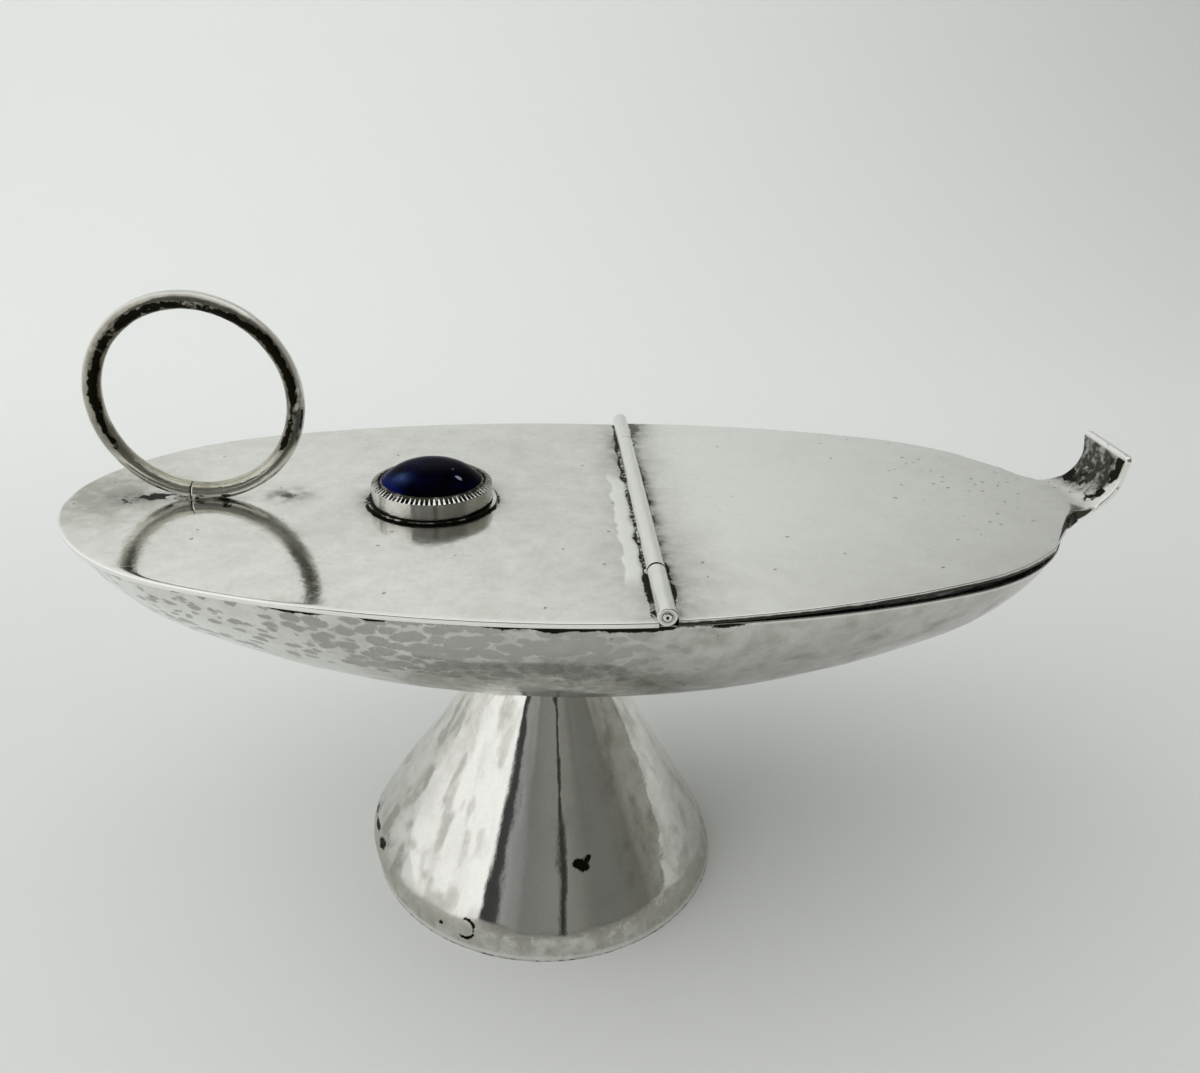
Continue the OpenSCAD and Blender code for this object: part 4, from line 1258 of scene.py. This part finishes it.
def make_camera():
    """A camera turned by yaw about Z, then pitched down, then rolled about its own line of sight."""
    forward = np.array([math.sin(CAMERA_YAW) * math.cos(CAMERA_PITCH),
                        math.cos(CAMERA_YAW) * math.cos(CAMERA_PITCH), -math.sin(CAMERA_PITCH)])
    level = np.array([math.cos(CAMERA_YAW), -math.sin(CAMERA_YAW), 0])
    lift = np.cross(level, forward)
    right = math.cos(CAMERA_ROLL) * level + math.sin(CAMERA_ROLL) * lift
    up = math.cos(CAMERA_ROLL) * lift - math.sin(CAMERA_ROLL) * level
    lens = bpy.data.cameras.new("camera")
    lens.sensor_fit = "HORIZONTAL"
    lens.sensor_width = CAMERA_SENSOR
    lens.lens = CAMERA_LENS
    lens.clip_start = CAMERA_NEAR * MM
    camera = add_object("camera", lens)
    camera.matrix_world = stood(CAMERA_EYE, right, up, -forward)
    bpy.context.scene.camera = camera


# Studio

SWEEP_BACK = 620.0
SWEEP_ROUND = 260.0
SWEEP_TALL = 1500.0
SWEEP_HALF = 720.0
SWEEP_FRONT = -1600.0
PAPER_COLOUR = (0.80, 0.812, 0.802, 1.0)


def make_sweep():
    """The pale floor and backdrop as one sheet: level, then a quarter round, then upright, all along X."""
    quarter = np.linspace(0, np.pi / 2, 24)
    y = np.concatenate([[SWEEP_FRONT], SWEEP_BACK - SWEEP_ROUND * (1 - np.sin(quarter)), [SWEEP_BACK]])
    z = np.concatenate([[0], SWEEP_ROUND * (1 - np.cos(quarter)), [SWEEP_TALL]])
    x = np.linspace(-SWEEP_HALF, SWEEP_HALF, 3)[:, None]
    points = grid_points(x, y, z)
    mesh = bpy.data.meshes.new("studio_sweep")
    mesh.from_pydata((points.reshape(-1, 3) * MM).tolist(), [], grid_quads(len(x), len(y)))
    mesh.polygons.foreach_set("use_smooth", np.ones(len(mesh.polygons), bool))
    paper, _, shader = new_finish("pale_paper")
    shader.inputs["Base Color"].default_value = PAPER_COLOUR
    shader.inputs["Roughness"].default_value = 0.9
    shader.inputs["Specular IOR Level"].default_value = 0.1
    mesh.materials.append(paper)
    sweep = add_object("studio_sweep", mesh)


def make_softbox(name, place, aim, size, watts, colour):
    """A wide lamp at a place in millimetres, turned towards its aim. Polished metal mirrors the room, not
    the lamp."""
    lamp = bpy.data.lights.new(name, "AREA")
    lamp.shape = "RECTANGLE"
    lamp.size, lamp.size_y = size[0] * MM, size[1] * MM
    lamp.energy = watts
    lamp.color = colour
    back = np.array(place, float) - np.array(aim, float)
    back = back / np.linalg.norm(back)
    side = np.cross([0, 0, 1.0], back)
    side = side / np.linalg.norm(side)
    box = add_object(name, lamp)
    box.matrix_world = stood(place, side, np.cross(back, side), back)
    box.visible_glossy = False


# Brightness of the room by bearing, in degrees from behind the camera towards the thumb piece's side
ROOM = ((-180, 0.75), (-150, 0.88), (-40, 1.0), (-37, 0.05), (-31, 0.05), (-29, 0.30), (-16, 0.18),
        (6, 0.22), (8, 0.03), (12, 0.04), (14, 0.22), (24, 0.18), (32, 0.15), (66, 0.16), (78, 0.28),
        (130, 0.36), (180, 0.55))
ROOM_TOP = 0.93
ROOM_WARMTH = 0.09


def make_world():
    """Room light by bearing, from a bright side to a dim one, with darker uprights behind the camera, all
    passing into an even brightness overhead."""
    world = bpy.data.worlds.new("room")
    bpy.context.scene.world = world
    world.use_nodes = True
    tree = world.node_tree
    way = add_node(tree, "ShaderNodeTexCoord").outputs["Generated"]
    parts = add_node(tree, "ShaderNodeSeparateXYZ", {"Vector": way})
    ahead = times(tree, parts.outputs["Y"], -1.0)
    bearing = calc(tree, "ARCTAN2", parts.outputs["X"], ahead)
    share = plus(tree, calc(tree, "DIVIDE", bearing, 2 * math.pi), 0.5)
    ramp = add_node(tree, "ShaderNodeValToRGB", {"Fac": share})
    stops = ramp.color_ramp.elements
    for degrees, _ in ROOM[1:-1]:
        stops.new(degrees / 360 + 0.5)
    for stop, (degrees, level) in zip(stops, ROOM):
        stop.position = degrees / 360 + 0.5
        warm = ROOM_WARMTH * smooth(-60, 40, degrees)
        stop.color = (level, level, level * (1.0 - warm), 1.0)
    high = ease(tree, parts.outputs["Z"], 0.62, 0.92)
    colour = blend_colour(tree, high, ramp.outputs["Color"], (ROOM_TOP, ROOM_TOP, ROOM_TOP, 1.0))
    tree.links.new(colour, tree.nodes["Background"].inputs["Color"])
    tree.nodes["Background"].inputs["Strength"].default_value = 1.0


make_camera()
make_sweep()
make_softbox("window_left", place=(-520, -240, 600), aim=(0, 0, 60), size=(1000, 900), watts=2.0,
             colour=(0.985, 1.0, 1.0))
make_softbox("backdrop_light", place=(-220, 120, 620), aim=(-220, 620, 560), size=(900, 500), watts=2.0,
             colour=(0.985, 1.0, 0.99))
make_world()
bpy.context.scene.view_settings.view_transform = "Standard"
